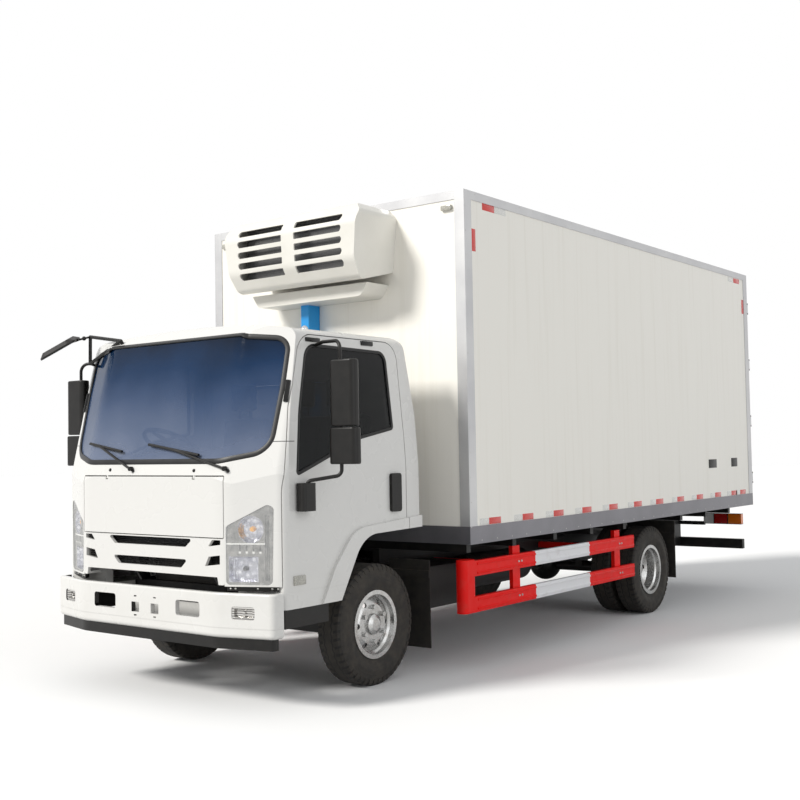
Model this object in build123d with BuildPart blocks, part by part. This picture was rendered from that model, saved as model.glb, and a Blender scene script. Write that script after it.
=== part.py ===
"""Cab-over refrigerated box truck: tilting cab, ladder frame, insulated box and roof-height cooling unit.

Millimetres, Z up from the ground, front towards -Y, the truck's left side towards +X.
"""

import math
import os

from build123d import *

os.makedirs("parts", exist_ok=True)

# ---- driving dimensions -------------------------------------------------------------------
WHEELBASE = 3815
FRONT_OVERHANG = 1150
REAR_OVERHANG = 2285
REAR_HARDWARE = 45
LENGTH = FRONT_OVERHANG + WHEELBASE + REAR_OVERHANG + REAR_HARDWARE

FRONT_Y = -LENGTH / 2
FRONT_AXLE_Y = FRONT_Y + FRONT_OVERHANG
REAR_AXLE_Y = FRONT_AXLE_Y + WHEELBASE

SEAT = 0.3
SHUT_GAP = 6
RUNNING_FIT = 0.05

# Tyres and wheels
TYRE_R = 389
TYRE_W = 195
BEAD_R = 205
FLANGE_R = 220
RIM_W = 150
RIM_T = 10
BARREL_R = 190
DISC_T = 12
HAND_HOLES = 6
HAND_HOLE_R = 19
HAND_HOLE_PITCH_R = 150
WHEEL_BOLTS = 6
BOLT_PITCH_R = 111
BOLT_R = 15
HUB_R = 82
FRONT_TYRE_X = 830
REAR_OUTER_TYRE_X = 1003
REAR_TYRE_PITCH = 232
REAR_WHEEL_X = REAR_OUTER_TYRE_X - REAR_TYRE_PITCH / 2
SPINDLE_R = 30
KINGPIN_X = 690
KINGPIN_R = 22
KNUCKLE_GAP = 5

# Ladder frame
RAIL_X = 390
RAIL_W = 70
RAIL_H = 180
RAIL_T = 8
FRAME_TOP = 700
FRAME_FRONT_Y = FRONT_AXLE_Y - 870
SPRING_W = 70

# Insulated box
BOX_W = 2450
BOX_GAP = 655
BOX_FRONT_Y = FRONT_AXLE_Y + BOX_GAP
BOX_REAR_Y = REAR_AXLE_Y + REAR_OVERHANG
BOX_BOTTOM = 862
BOX_TOP = 3306
BOX_WALL = 80
BOX_FLOOR = 110
DECK_T = 12
RAIL_BAND = 122
TOP_BAND = 62
POST_FRONT = 80
POST_SIDE = 92
EDGE_T = 5
REAR_FRAME_W = 90
REAR_FRAME_D = 100
SUBFRAME_H = BOX_BOTTOM - FRAME_TOP
BEARER_H = 60
BEARER_PITCH = 605
CARGO_HINGE_X = BOX_W / 2 - 20
CARGO_HINGE_OUT = 28
CARGO_PIN_R = 9
CARGO_HINGE_Z = (1150, 1750, 2350, 2950)
LOCK_ROD_R = 14

# Cooling unit
UNIT_HALF = 650
UNIT_T = 12
UNIT_DEPTH = 465
UNIT_DROP = 56

# Cab
CAB_HALF = 1000
CAB_WALL = 60
CAB_FLOOR_Z = 930
CAB_SEAT_FLOOR_Z = 1075
CAB_FLOOR_T = 25
CAB_SILL = 600
CAB_NOSE_LOW = 735
CAB_REAR = 381
ARCH_TOP = 1000
BELT_Z = 1420
ROOF_EDGE_Z = 2262
ROOF_APEX_Z = 2376
ROOF_CROWN_R = 7000
ROOF_EDGE_R = 75
SHUT_LINE = -955
DOOR_REAR = 240
LID_T = 22
GLASS_T = 6
BUMPER_LOW = 440
BUMPER_TOP = 702
CAB_PIVOT = -900
CAB_PIVOT_Z = 850
CAB_PIN_R = 20
STEERING_X = -450
MIRROR_TUBE_R = 11


def y(at):
    """Place along the truck from a distance behind the front axle."""
    return FRONT_AXLE_Y + at


def save(builder, name):
    """Labels a finished piece and writes its file."""
    builder.part.label = name
    export_step(builder.part, f"parts/{name}.step")


def trace(rows):
    """Adds to the sketch being drawn the closed outline through rows of (across, up, corner radius)."""
    with BuildLine() as line:
        FilletPolyline(*[row[:2] for row in rows], radius=[row[2] for row in rows], close=True)
    make_face(line.edges())


def slab(across, along, height, mode=Mode.ADD):
    """Adds a rectangular block between the pairs of X, Y and Z limits."""
    (left, right), (front, back), (low, high) = across, along, height
    with Locations(((left + right) / 2, (front + back) / 2, (low + high) / 2)):
        Box(right - left, back - front, high - low, mode=mode)


def rod(start, end, radius, mode=Mode.ADD):
    """Adds a round bar from one point to another."""
    start, end = Vector(*start), Vector(*end)
    with BuildSketch(Plane(origin=start, z_dir=end - start)) as section:
        Circle(radius)
    extrude(section.sketch, amount=(end - start).length, mode=mode)


def run(points, radius, bend):
    """Adds a bent tube along the points, with the bend radius at each corner."""
    with BuildLine() as path:
        FilletPolyline(*points, radius=bend)
    with BuildSketch(Plane(origin=path.line @ 0, z_dir=path.line % 0)) as section:
        Circle(radius)
    sweep(section.sketch, path=path.line)


# ---- cab form -----------------------------------------------------------------------------
# The cab is the common part of four straight-drawn forms: an upright plan, a plan raked back with
# the windscreen, the side outline and the front outline.
FLANK_R = 80
NOSE_R = 350
CAB_FORM_BACK = 500
WINDSCREEN_RAKE = 13.9
# Plan rows: half width or nose corner x, distance behind the front axle at the belt, corner radius
UPRIGHT_PLAN = (
    (CAB_HALF, CAB_FORM_BACK, 0),
    (CAB_HALF, -950, FLANK_R),
    (650, -1112, NOSE_R),
    (-650, -1112, NOSE_R),
    (-CAB_HALF, -950, FLANK_R),
    (-CAB_HALF, CAB_FORM_BACK, 0),
)
RAKED_PLAN = (
    (CAB_HALF, 2 * CAB_FORM_BACK, 0),
    (CAB_HALF, -945, FLANK_R),
    (620, -1100, NOSE_R),
    (-620, -1100, NOSE_R),
    (-CAB_HALF, -945, FLANK_R),
    (-CAB_HALF, 2 * CAB_FORM_BACK, 0),
)
# Side outline of the cab: distance behind the front axle, height, corner radius
CAB_SIDE = (
    (-1300, CAB_NOSE_LOW, 0),
    (SHUT_LINE, CAB_NOSE_LOW, 0),
    (SHUT_LINE, CAB_SILL, 0),
    (-474, CAB_SILL, 0),
    (-246, 985, 250),
    (CAB_REAR, ARCH_TOP, 0),
    (375, 1750, 400),
    (300, 2235, 110),
    (40, 2345, 200),
    (-740, 2345, 250),
    (-960, 2190, 0),
    (-1300, 2190, 0),
)
PROFILE_TRIM = 0.5
CAB_TOP_LEAN = 0.0694


def cab_half(height):
    """Half width of the cab at a height, straight to the belt and leaning in above it."""
    return CAB_HALF - max(0, height - BELT_Z) * CAB_TOP_LEAN


CAB_FRONT_VIEW = (
    (-CAB_HALF + PROFILE_TRIM, 0, 0),
    (CAB_HALF - PROFILE_TRIM, 0, 0),
    (CAB_HALF - PROFILE_TRIM, BELT_Z, 0),
    (cab_half(ROOF_EDGE_Z) - PROFILE_TRIM, ROOF_EDGE_Z, ROOF_EDGE_R),
    (0, ROOF_APEX_Z, ROOF_CROWN_R),
    (-cab_half(ROOF_EDGE_Z) + PROFILE_TRIM, ROOF_EDGE_Z, ROOF_EDGE_R),
    (-CAB_HALF + PROFILE_TRIM, BELT_Z, 0),
)


def shrink(inset):
    """Draws the sketch's outline in by the inset."""
    if inset:
        offset(amount=-inset, kind=Kind.INTERSECTION, mode=Mode.REPLACE)


def cab_form(inset):
    """The closed form of the cab, drawn in on every side by the inset."""
    rake = math.radians(WINDSCREEN_RAKE)
    raked = Plane(
        origin=(0, y(0), BELT_Z), x_dir=(1, 0, 0), z_dir=(0, math.sin(rake), math.cos(rake))
    )
    with BuildPart() as form:
        with BuildSketch():
            trace([(across, y(at), radius) for across, at, radius in UPRIGHT_PLAN])
            shrink(inset)
        extrude(amount=ROOF_APEX_Z)
        with BuildSketch(raked):
            trace([(across, at * math.cos(rake), radius) for across, at, radius in RAKED_PLAN])
            shrink(inset)
        extrude(amount=ROOF_APEX_Z, both=True, mode=Mode.INTERSECT)
        with BuildSketch(Plane.YZ):
            trace([(y(at), up, radius) for at, up, radius in CAB_SIDE])
            shrink(inset)
        extrude(amount=CAB_HALF, both=True, mode=Mode.INTERSECT)
        with BuildSketch(Plane.XZ.offset(-y(CAB_FORM_BACK))):
            trace(CAB_FRONT_VIEW)
            shrink(inset)
        extrude(amount=2 * CAB_FORM_BACK + FRONT_OVERHANG, mode=Mode.INTERSECT)
    return form.part


FORM = cab_form(0)
FORM_LID = cab_form(LID_T)
FORM_GLASS_OUT = cab_form(8)
FORM_GLASS_IN = cab_form(8 + GLASS_T)
FORM_IN = cab_form(CAB_WALL)

# Side door and its window: distance behind the front axle, height, corner radius
DOOR_OUTLINE = (
    (SHUT_LINE, CAB_SILL - 50, 0),
    (SHUT_LINE, 1310, 500),
    (-868, 1800, 900),
    (-742, 2232, 150),
    (215, 2232, 130),
    (DOOR_REAR, 1600, 300),
    (DOOR_REAR, CAB_SILL - 50, 0),
)
WINDOW_OUTLINE = (
    (-850, 1367, 25),
    (-214, 1590, 120),
    (130, 1650, 30),
    (100, 2165, 80),
    (-694, 2175, 110),
    (-795, 1760, 900),
)
WINDSCREEN_OUTLINE = (
    (-600, 1452, 400),
    (600, 1452, 400),
    (912, 1510, 140),
    (927, 1900, 500),
    (922, 2212, 110),
    (600, 2243, 500),
    (-600, 2243, 500),
    (-922, 2212, 110),
    (-927, 1900, 500),
    (-912, 1510, 140),
)
WINDSCREEN_LEDGE = 40
WINDSCREEN_DEPTH = -700
LAMP_BACK = -966
GRILLE_BACK = -1000
LID_OUTLINE = (
    (-655, 1012, 12),
    (655, 1012, 12),
    (655, 1385, 12),
    (-655, 1385, 12),
)
GRILLE_ROOM = (
    (-655, CAB_NOSE_LOW - 50, 0),
    (655, CAB_NOSE_LOW - 50, 0),
    (655, 1010, 12),
    (-655, 1010, 12),
)
# The grille's lower edge is raised between the two corners
GRILLE_OUTLINE = (
    (-655, 741, 12),
    (-612, 741, 6),
    (-603, 786, 6),
    (603, 786, 6),
    (612, 741, 6),
    (655, 741, 12),
    (655, 1010, 12),
    (-655, 1010, 12),
)
LAMP_OUTLINE = (
    (665, 745, 25),
    (930, 745, 30),
    (940, 1200, 30),
    (900, 1212, 25),
    (665, 1085, 25),
)
BACK_WINDOW_OUTLINE = (
    (-560, 1560, 60),
    (560, 1560, 60),
    (560, 2010, 60),
    (-560, 2010, 60),
)


def swap(rows, side=1):
    """The same outline with its first column mirrored for the other side."""
    return [(side * across, up, radius) for across, up, radius in rows]


def side_prism(rows, side, gap=0, depth=200, mode=Mode.ADD):
    """A block through one side of the cab with the outline of the rows, drawn in by the gap."""
    with BuildSketch(Plane.YZ.offset(side * (CAB_HALF + 30))) as section:
        trace([(y(at), up, radius) for at, up, radius in rows])
        shrink(gap)
    extrude(section.sketch, amount=-side * depth, mode=mode)


def front_prism(rows, side=1, gap=0, to=WINDSCREEN_DEPTH, mode=Mode.ADD):
    """A block through the front of the cab, back to a distance behind the axle."""
    with BuildSketch(Plane.XZ.offset(-y(to))) as section:
        trace(swap(rows, side))
        shrink(gap)
    extrude(section.sketch, amount=to + FRONT_OVERHANG + 50, mode=mode)


def side_wall(depth):
    """Both side walls and the roof of the cab form to a depth, straight through from front to back."""
    with BuildPart() as wall:
        with BuildSketch(Plane.XZ.offset(-y(CAB_FORM_BACK))):
            trace(CAB_FRONT_VIEW)
            shrink(-WALL_PROUD)
        extrude(amount=2 * CAB_FORM_BACK + FRONT_OVERHANG)
        with BuildSketch(Plane.XZ.offset(-y(CAB_FORM_BACK))):
            trace(CAB_FRONT_VIEW)
            shrink(depth)
        extrude(amount=2 * CAB_FORM_BACK + FRONT_OVERHANG, mode=Mode.SUBTRACT)
    return wall.part


def door_room(side, gap):
    """The room of a side door through the wall, drawn in by the gap."""
    with BuildPart() as room:
        side_prism(DOOR_OUTLINE, side, gap=gap, depth=DOOR_DEPTH - gap)
        add(side_wall(CAB_WALL + SHUT_GAP - gap), mode=Mode.INTERSECT)
    return room.part


def windscreen_room():
    """The windscreen opening: a seat for the glass and a smaller opening behind it."""
    with BuildPart() as room:
        front_prism(WINDSCREEN_OUTLINE)
        add(cab_form(8 + GLASS_T + SEAT), mode=Mode.SUBTRACT)
        front_prism(WINDSCREEN_OUTLINE, gap=WINDSCREEN_LEDGE)
    return room.part


def floor_pan():
    """Cab floor, stepped up under the seats, as wide as the room between the doors."""
    with BuildPart() as floor:
        with BuildSketch(Plane.YZ.offset(-FLOOR_HALF)):
            with BuildLine():
                Polyline(
                    (y(-1060), CAB_FLOOR_Z),
                    (y(-420), CAB_FLOOR_Z),
                    (y(-420), CAB_SEAT_FLOOR_Z - CAB_FLOOR_T),
                    (y(FLOOR_REAR), CAB_SEAT_FLOOR_Z - CAB_FLOOR_T),
                    (y(FLOOR_REAR), CAB_SEAT_FLOOR_Z),
                    (y(-420 - CAB_FLOOR_T), CAB_SEAT_FLOOR_Z),
                    (y(-420 - CAB_FLOOR_T), CAB_FLOOR_Z + CAB_FLOOR_T),
                    (y(-1060), CAB_FLOOR_Z + CAB_FLOOR_T),
                    close=True,
                )
            make_face()
        extrude(amount=2 * FLOOR_HALF)
        add(cab_form(CAB_WALL + SEAT), mode=Mode.INTERSECT)
    return floor.part


def lid_recess():
    """Shallow recess behind the front lid."""
    with BuildPart() as recess:
        front_prism(LID_OUTLINE, to=-1000)
        add(cab_form(LID_T + 14), mode=Mode.SUBTRACT)
    return recess.part


def lid_pin(side, radius, half, mode):
    """One pin of the front lid's hinge, or the hole around it."""
    rod(
        (side * LID_LUG_X - half, y(LID_PIN_AT), LID_PIN_Z),
        (side * LID_LUG_X + half, y(LID_PIN_AT), LID_PIN_Z),
        radius,
        mode=mode,
    )


def flare(side, gap, front, back, low):
    """Raised lip over the wheel arch on one side, between two places along the truck."""
    reach = CAB_HALF + FLARE_OUT
    with BuildPart() as lip:
        side_prism(FLARE, side, depth=FLARE_DEPTH + gap)
        slab((-reach, reach), (y(front), y(back)), (low, ARCH_TOP + 200), mode=Mode.INTERSECT)
    return lip.part


def headlamp_cover():
    """Clear cover of the left headlamp, flush with the cab's skin."""
    with BuildPart() as cover:
        front_prism(LAMP_OUTLINE, gap=SEAT, to=LAMP_BACK)
        add(FORM, mode=Mode.INTERSECT)
        add(cab_form(LAMP_COVER_T), mode=Mode.SUBTRACT)
    return cover.part


def headlamp():
    """Housing of the left headlamp with its two reflectors, bulbs, ribs and light slots."""
    corner, flank = UPRIGHT_PLAN[2], UPRIGHT_PLAN[1]
    flow = Vector(flank[0] - corner[0], flank[1] - corner[1]).normalized()
    face = Plane(
        origin=(corner[0], y(corner[1]), 0), x_dir=flow, z_dir=Vector(flow.Y, -flow.X)
    )
    floor = face.offset(-LAMP_POCKET_DEPTH)
    with BuildPart() as lamp:
        front_prism(LAMP_OUTLINE, gap=SEAT, to=LAMP_BACK)
        add(cab_form(LAMP_COVER_T + SEAT), mode=Mode.INTERSECT)
        add(FORM_IN, mode=Mode.SUBTRACT)
        # Bowl of the direction light and its bulb
        with BuildSketch(face) as bowl:
            with Locations(BOWL_AT):
                Circle(BOWL_R)
        extrude(bowl.sketch, amount=-LAMP_POCKET_DEPTH, taper=25, mode=Mode.SUBTRACT)
        with BuildSketch(floor) as bulb:
            with Locations(BOWL_AT):
                Circle(BULB_R)
        extrude(bulb.sketch, amount=BULB_L)
        # Reflector of the main beam with its shade
        with BuildSketch(face) as reflector:
            with Locations(REFLECTOR_AT):
                RectangleRounded(*REFLECTOR_SIZE, 30)
        extrude(reflector.sketch, amount=-LAMP_POCKET_DEPTH, taper=18, mode=Mode.SUBTRACT)
        with BuildSketch(floor) as shade:
            with Locations(REFLECTOR_AT):
                Circle(BULB_R)
        extrude(shade.sketch, amount=BULB_L - 8)
        # Light slots in the band between the reflectors, and ribs along the outer edge
        with BuildSketch(face) as slots:
            with Locations((BOWL_AT[0] - 5, BAND_Z)):
                with GridLocations(BAND_PITCH, 0, BAND_SLOTS, 1):
                    Rectangle(9, 40)
            with Locations((RIB_X, RIB_Z)):
                with GridLocations(RIB_PITCH, 0, RIBS, 1):
                    Rectangle(RIB_PITCH / 2, RIB_H)
        extrude(slots.sketch, amount=-GROOVE_DEPTH, mode=Mode.SUBTRACT)
    return lamp.part


# ---- cab shell ----------------------------------------------------------------------------
SIDES = {"left": 1, "right": -1}
WALL_PROUD = 40
LID_HALF = 655
LID_TOP = 1377
LID_PIN_R = 3
LID_PIN_HALF = 18
LID_LUG_X = 406
LID_LUG_HALF = 6
LID_LUG_LOW = 1366
LID_PIN_AT = -1103
LID_PIN_Z = 1371
# Headlamp: cover and pocket depth, then places along the lamp's face and up from the ground
LAMP_COVER_T = 4
LAMP_POCKET_DEPTH = 46
BOWL_AT = (175, 1068)
BOWL_R = 80
BULB_R = 13
BULB_L = 26
REFLECTOR_AT = (128, 836)
REFLECTOR_SIZE = (185, 150)
BAND_Z = 958
BAND_SLOTS = 4
BAND_PITCH = 42
RIB_X = 276
RIB_Z = 960
RIB_H = 380
RIB_PITCH = 10
RIBS = 3
GROOVE_DEPTH = 12
LAMP_SILL_LOW = BUMPER_TOP + SHUT_GAP
LAMP_SILL_IN = 12
LAMP_SILL_T = 30
DOOR_DEPTH = 150
FLOOR_HALF = CAB_HALF - CAB_WALL - SHUT_GAP
FLOOR_REAR = CAB_REAR - CAB_WALL - SEAT
FLARE_OUT = 22
FLARE_DEPTH = 40
FLARE = (
    (-645, CAB_SILL, 0),
    (-526, 806, 200),
    (-330, 1030, 260),
    (CAB_REAR, 1078, 0),
    (CAB_REAR, ARCH_TOP, 0),
    (-246, 985, 250),
    (-474, CAB_SILL, 0),
)

with BuildPart() as cab_shell:
    add(FORM)
    add(FORM_IN, mode=Mode.SUBTRACT)
    for side in SIDES.values():
        add(door_room(side, 0), mode=Mode.SUBTRACT)
    # Open below the middle of the floor, behind the front skin
    slab((-620, 620), (y(-1030), y(CAB_REAR + 10)), (0, CAB_SEAT_FLOOR_Z), mode=Mode.SUBTRACT)
    for side in SIDES.values():
        front_prism(LAMP_OUTLINE, side, to=LAMP_BACK, mode=Mode.SUBTRACT)
    add(windscreen_room(), mode=Mode.SUBTRACT)
    front_prism(GRILLE_ROOM, to=GRILLE_BACK, mode=Mode.SUBTRACT)
    with BuildSketch(Plane.XZ.offset(-y(CAB_REAR + 50))):
        trace(BACK_WINDOW_OUTLINE)
    extrude(amount=200, mode=Mode.SUBTRACT)
    add(lid_recess(), mode=Mode.SUBTRACT)
    # Rear end of the wheel arch lip, behind the doors
    for side in SIDES.values():
        add(flare(side, 0, DOOR_REAR, CAB_REAR, ARCH_TOP - 50))
    # Lugs and pins of the front lid's hinge
    for side in SIDES.values():
        middle = side * LID_LUG_X
        slab(
            (middle - LID_LUG_HALF, middle + LID_LUG_HALF),
            (y(LID_PIN_AT - 4), y(LID_PIN_AT + 11)),
            (LID_LUG_LOW, LID_LUG_LOW + 26),
        )
        lid_pin(side, LID_PIN_R, LID_PIN_HALF, Mode.ADD)
save(cab_shell, "cab_shell")

with BuildPart() as cab_floor:
    add(floor_pan())
    # Bosses of the tilting hinge
    for side in SIDES.values():
        rod((side * 300, y(CAB_PIVOT), CAB_PIVOT_Z), (side * 340, y(CAB_PIVOT), CAB_PIVOT_Z), 45)
        slab(
            (min(side * 300, side * 340), max(side * 300, side * 340)),
            (y(CAB_PIVOT - 40), y(CAB_PIVOT + 40)),
            (CAB_PIVOT_Z, CAB_FLOOR_Z + 5),
        )
        rod(
            (side * 295, y(CAB_PIVOT), CAB_PIVOT_Z),
            (side * 345, y(CAB_PIVOT), CAB_PIVOT_Z),
            CAB_PIN_R + RUNNING_FIT,
            mode=Mode.SUBTRACT,
        )
save(cab_floor, "cab_floor")

# ---- doors, glass, lid and lamps of the cab -----------------------------------------------
MIRROR_X = 1250
MIRROR_Y = -690
# Mirror heads: lowest and highest point, width, depth
MIRROR_HEADS = (
    (1672, 2045, 185, 80),
    (1449, 1646, 205, 80),
)


def mirror_set(side):
    """Mirror heads of one door with their tubular stay and lower bracket."""
    for low, high, width, depth in MIRROR_HEADS:
        with BuildSketch(Plane.XY.offset(low)) as section:
            with Locations((side * MIRROR_X, y(MIRROR_Y))):
                RectangleRounded(width, depth, depth * 0.42)
        extrude(section.sketch, amount=high - low)
    (low_bottom, low_top, *_), (_, high_top, *_) = MIRROR_HEADS[1], MIRROR_HEADS[0]
    tube_x = MIRROR_X - 30
    run(
        (
            (side * (cab_half(2165) + 2.5), y(-600), 2165),
            (side * (cab_half(2165) + 70), y(-610), 2180),
            (side * tube_x, y(MIRROR_Y), 2170),
            (side * tube_x, y(MIRROR_Y), high_top - 10),
        ),
        MIRROR_TUBE_R,
        (40, 60),
    )
    rod(
        (side * tube_x, y(MIRROR_Y), low_top - 5),
        (side * tube_x, y(MIRROR_Y), MIRROR_HEADS[0][0] + 5),
        MIRROR_TUBE_R,
    )
    run(
        (
            (side * tube_x, y(MIRROR_Y), low_bottom + 10),
            (side * tube_x, y(MIRROR_Y), 1375),
            (side * (CAB_HALF + 60), y(-805), 1345),
            (side * (CAB_HALF + 40), y(-810), 1300),
        ),
        MIRROR_TUBE_R,
        (40, 30),
    )
    with BuildSketch(Plane.XY.offset(1167)) as section:
        with Locations((side * (CAB_HALF + 36), y(-800))):
            RectangleRounded(71, 120, 25)
    extrude(section.sketch, amount=165)


for name, side in SIDES.items():
    with BuildPart() as door:
        add(door_room(side, SHUT_GAP))
        add(FORM, mode=Mode.INTERSECT)
        add(flare(side, 10, SHUT_LINE, DOOR_REAR - SHUT_GAP, CAB_SILL + SHUT_GAP))
        side_prism(WINDOW_OUTLINE, side, mode=Mode.SUBTRACT)
    save(door, f"door_{name}")

    with BuildPart() as door_glass:
        side_prism(WINDOW_OUTLINE, side, gap=SEAT)
        add(FORM_GLASS_OUT, mode=Mode.INTERSECT)
        add(FORM_GLASS_IN, mode=Mode.SUBTRACT)
    save(door_glass, f"door_{name}_glass")

    with BuildPart() as fittings:
        mirror_set(side)
        # Upright pull handle
        with BuildSketch(Plane.YZ.offset(side * (CAB_HALF + SEAT))) as section:
            with Locations((y(106), 1240)):
                RectangleRounded(105, 250, 20)
        extrude(section.sketch, amount=side * 22)
    save(fittings, f"door_{name}_fittings")

# Front mirror on the right: tubular triangle between the roof's edge and the front pillar
FRONT_MIRROR_TUBE_R = 12
FRONT_MIRROR_TOP = (-930, y(-830), 2340)
PILLAR_FOOT = ((-933, y(-830), 2152), (-933, y(-735), 2128))
ROOF_FOOT = ((-550, y(-872), 2282), (-550, y(-846), 2245))
FRONT_MIRROR_INNER = Vector(-913, y(-950), 2309)
FRONT_MIRROR_OUTER = Vector(-1154, y(-1050), 2187)
FRONT_MIRROR_FACE = Vector(0.243, 0.459, -0.855)
FRONT_MIRROR_DEPTH = 195
FRONT_MIRROR_BACK = 40
with BuildPart() as front_mirror:
    for start, end in (
        (ROOF_FOOT[0], FRONT_MIRROR_TOP),
        (PILLAR_FOOT[0], FRONT_MIRROR_TOP),
        (PILLAR_FOOT[0], ROOF_FOOT[0]),
        ROOF_FOOT,
    ):
        rod(start, end, FRONT_MIRROR_TUBE_R)
    rod(*PILLAR_FOOT, 9)
    for corner in (ROOF_FOOT[0], PILLAR_FOOT[0], FRONT_MIRROR_TOP):
        with Locations(corner):
            Sphere(FRONT_MIRROR_TUBE_R)
    add(cab_form(-SEAT), mode=Mode.SUBTRACT)
    # Link and ball to the head
    along = (FRONT_MIRROR_OUTER - FRONT_MIRROR_INNER).normalized()
    rod(FRONT_MIRROR_TOP, FRONT_MIRROR_INNER, 7)
    rod(FRONT_MIRROR_INNER, FRONT_MIRROR_INNER + along * 60 - FRONT_MIRROR_FACE * 12, 9)
    with Locations((Vector(*FRONT_MIRROR_TOP) + FRONT_MIRROR_INNER) * 0.5):
        Sphere(15)
    head = Plane(
        origin=(FRONT_MIRROR_INNER + FRONT_MIRROR_OUTER) * 0.5,
        x_dir=along,
        z_dir=FRONT_MIRROR_FACE * -1,
    )
    width = (FRONT_MIRROR_OUTER - FRONT_MIRROR_INNER).length
    with BuildSketch(head):
        RectangleRounded(width, FRONT_MIRROR_DEPTH, 60)
    extrude(amount=14)
    with BuildSketch(head.offset(14)):
        RectangleRounded(width - 6, FRONT_MIRROR_DEPTH - 6, 58)
    extrude(amount=FRONT_MIRROR_BACK - 14, taper=50)
save(front_mirror, "front_mirror")

with BuildPart() as front_lid:
    front_prism(LID_OUTLINE, gap=SHUT_GAP)
    add(FORM, mode=Mode.INTERSECT)
    add(FORM_LID, mode=Mode.SUBTRACT)
    slab((-LID_HALF, LID_HALF), (y(-1200), y(-1000)), (LID_TOP, LID_TOP + 50), mode=Mode.SUBTRACT)
    for side in SIDES.values():
        middle = side * LID_LUG_X
        slab(
            (middle - LID_LUG_HALF - SHUT_GAP, middle + LID_LUG_HALF + SHUT_GAP),
            (y(-1200), y(-1000)),
            (LID_LUG_LOW - SHUT_GAP, LID_TOP + 50),
            mode=Mode.SUBTRACT,
        )
        lid_pin(side, LID_PIN_R + RUNNING_FIT, LID_PIN_HALF + 1, Mode.SUBTRACT)
save(front_lid, "front_lid")

# Grille slots: low and high edge, lower and upper half width
GRILLE_SLOTS = (
    (953, 1004, 330, 396),
    (827, 879, 292, 350),
)
# Vents outside the slots, mirrored on the other side
GRILLE_VENTS = (
    ((528, 964, 3), (628, 977, 3), (628, 1004, 3), (562, 1004, 3)),
    ((500, 847, 3), (624, 862, 3), (624, 915, 3), (532, 904, 3)),
)
with BuildPart() as front_grille:
    front_prism(GRILLE_OUTLINE, gap=SEAT, to=GRILLE_BACK - SEAT)
    add(FORM, mode=Mode.INTERSECT)
    add(FORM_LID, mode=Mode.SUBTRACT)
    for low, high, low_half, high_half in GRILLE_SLOTS:
        with BuildSketch(Plane.XZ.offset(-y(WINDSCREEN_DEPTH))):
            trace(
                (
                    (-low_half, low, 10),
                    (low_half, low, 10),
                    (high_half, high, 10),
                    (-high_half, high, 10),
                )
            )
        extrude(amount=600, mode=Mode.SUBTRACT)
    for side in SIDES.values():
        for vent in GRILLE_VENTS:
            front_prism(vent, side, mode=Mode.SUBTRACT)
save(front_grille, "front_grille")

# Black strips under the headlamps, between the cab's nose and the bumper
with BuildPart() as lamp_sills:
    with BuildSketch(Plane.XY.offset(LAMP_SILL_LOW)):
        trace([(across, y(at), radius) for across, at, radius in UPRIGHT_PLAN])
        shrink(LAMP_SILL_IN)
    extrude(amount=CAB_NOSE_LOW - SEAT - LAMP_SILL_LOW)
    with BuildSketch(Plane.XY.offset(LAMP_SILL_LOW)):
        trace([(across, y(at), radius) for across, at, radius in UPRIGHT_PLAN])
        shrink(LAMP_SILL_IN + LAMP_SILL_T)
    extrude(amount=CAB_NOSE_LOW - LAMP_SILL_LOW, mode=Mode.SUBTRACT)
    slab((-660, 660), (y(-1200), y(-900)), (0, CAB_NOSE_LOW), mode=Mode.SUBTRACT)
    slab(
        (-CAB_HALF, CAB_HALF),
        (y(SHUT_LINE - 2), y(CAB_FORM_BACK)),
        (0, CAB_NOSE_LOW),
        mode=Mode.SUBTRACT,
    )
save(lamp_sills, "lamp_sills")

with BuildPart() as headlamps:
    add(headlamp())
    mirror(about=Plane.YZ)
save(headlamps, "headlamps")

with BuildPart() as headlamp_covers:
    add(headlamp_cover())
    mirror(about=Plane.YZ)
save(headlamp_covers, "headlamp_covers")

with BuildPart() as cab_glass:
    front_prism(WINDSCREEN_OUTLINE, gap=SEAT)
    add(FORM_GLASS_OUT, mode=Mode.INTERSECT)
    add(FORM_GLASS_IN, mode=Mode.SUBTRACT)
    with BuildSketch(Plane.XZ.offset(-y(CAB_REAR - 20))):
        trace(BACK_WINDOW_OUTLINE)
        shrink(SEAT)
    extrude(amount=GLASS_T)
save(cab_glass, "cab_glass")

# ---- cab interior -------------------------------------------------------------------------
CAB_FLOOR_TOP = CAB_FLOOR_Z + CAB_FLOOR_T
with BuildPart() as dashboard:
    with BuildSketch(Plane.YZ.offset(-900)):
        trace(
            (
                (y(-1000), CAB_FLOOR_TOP + SEAT, 0),
                (y(-860), CAB_FLOOR_TOP + SEAT, 0),
                (y(-800), 1250, 60),
                (y(-700), 1330, 30),
                (y(-720), 1465, 40),
                (y(-1000), 1470, 30),
            )
        )
    extrude(amount=1800)
    with BuildSketch(Plane.XY.offset(CAB_FLOOR_Z)):
        trace(
            (
                (-900, y(-600), 0),
                (900, y(-600), 0),
                (900, y(-860), 0),
                (560, y(-1000), 0),
                (-560, y(-1000), 0),
                (-900, y(-860), 0),
            )
        )
    extrude(amount=700, mode=Mode.INTERSECT)
    # Steering column
    rod((STEERING_X, y(-760), 1165), (STEERING_X, y(-585), 1468), 38)
save(dashboard, "dashboard")

SEAT_PLACES = ((-450, 480), (300, 820))
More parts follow.
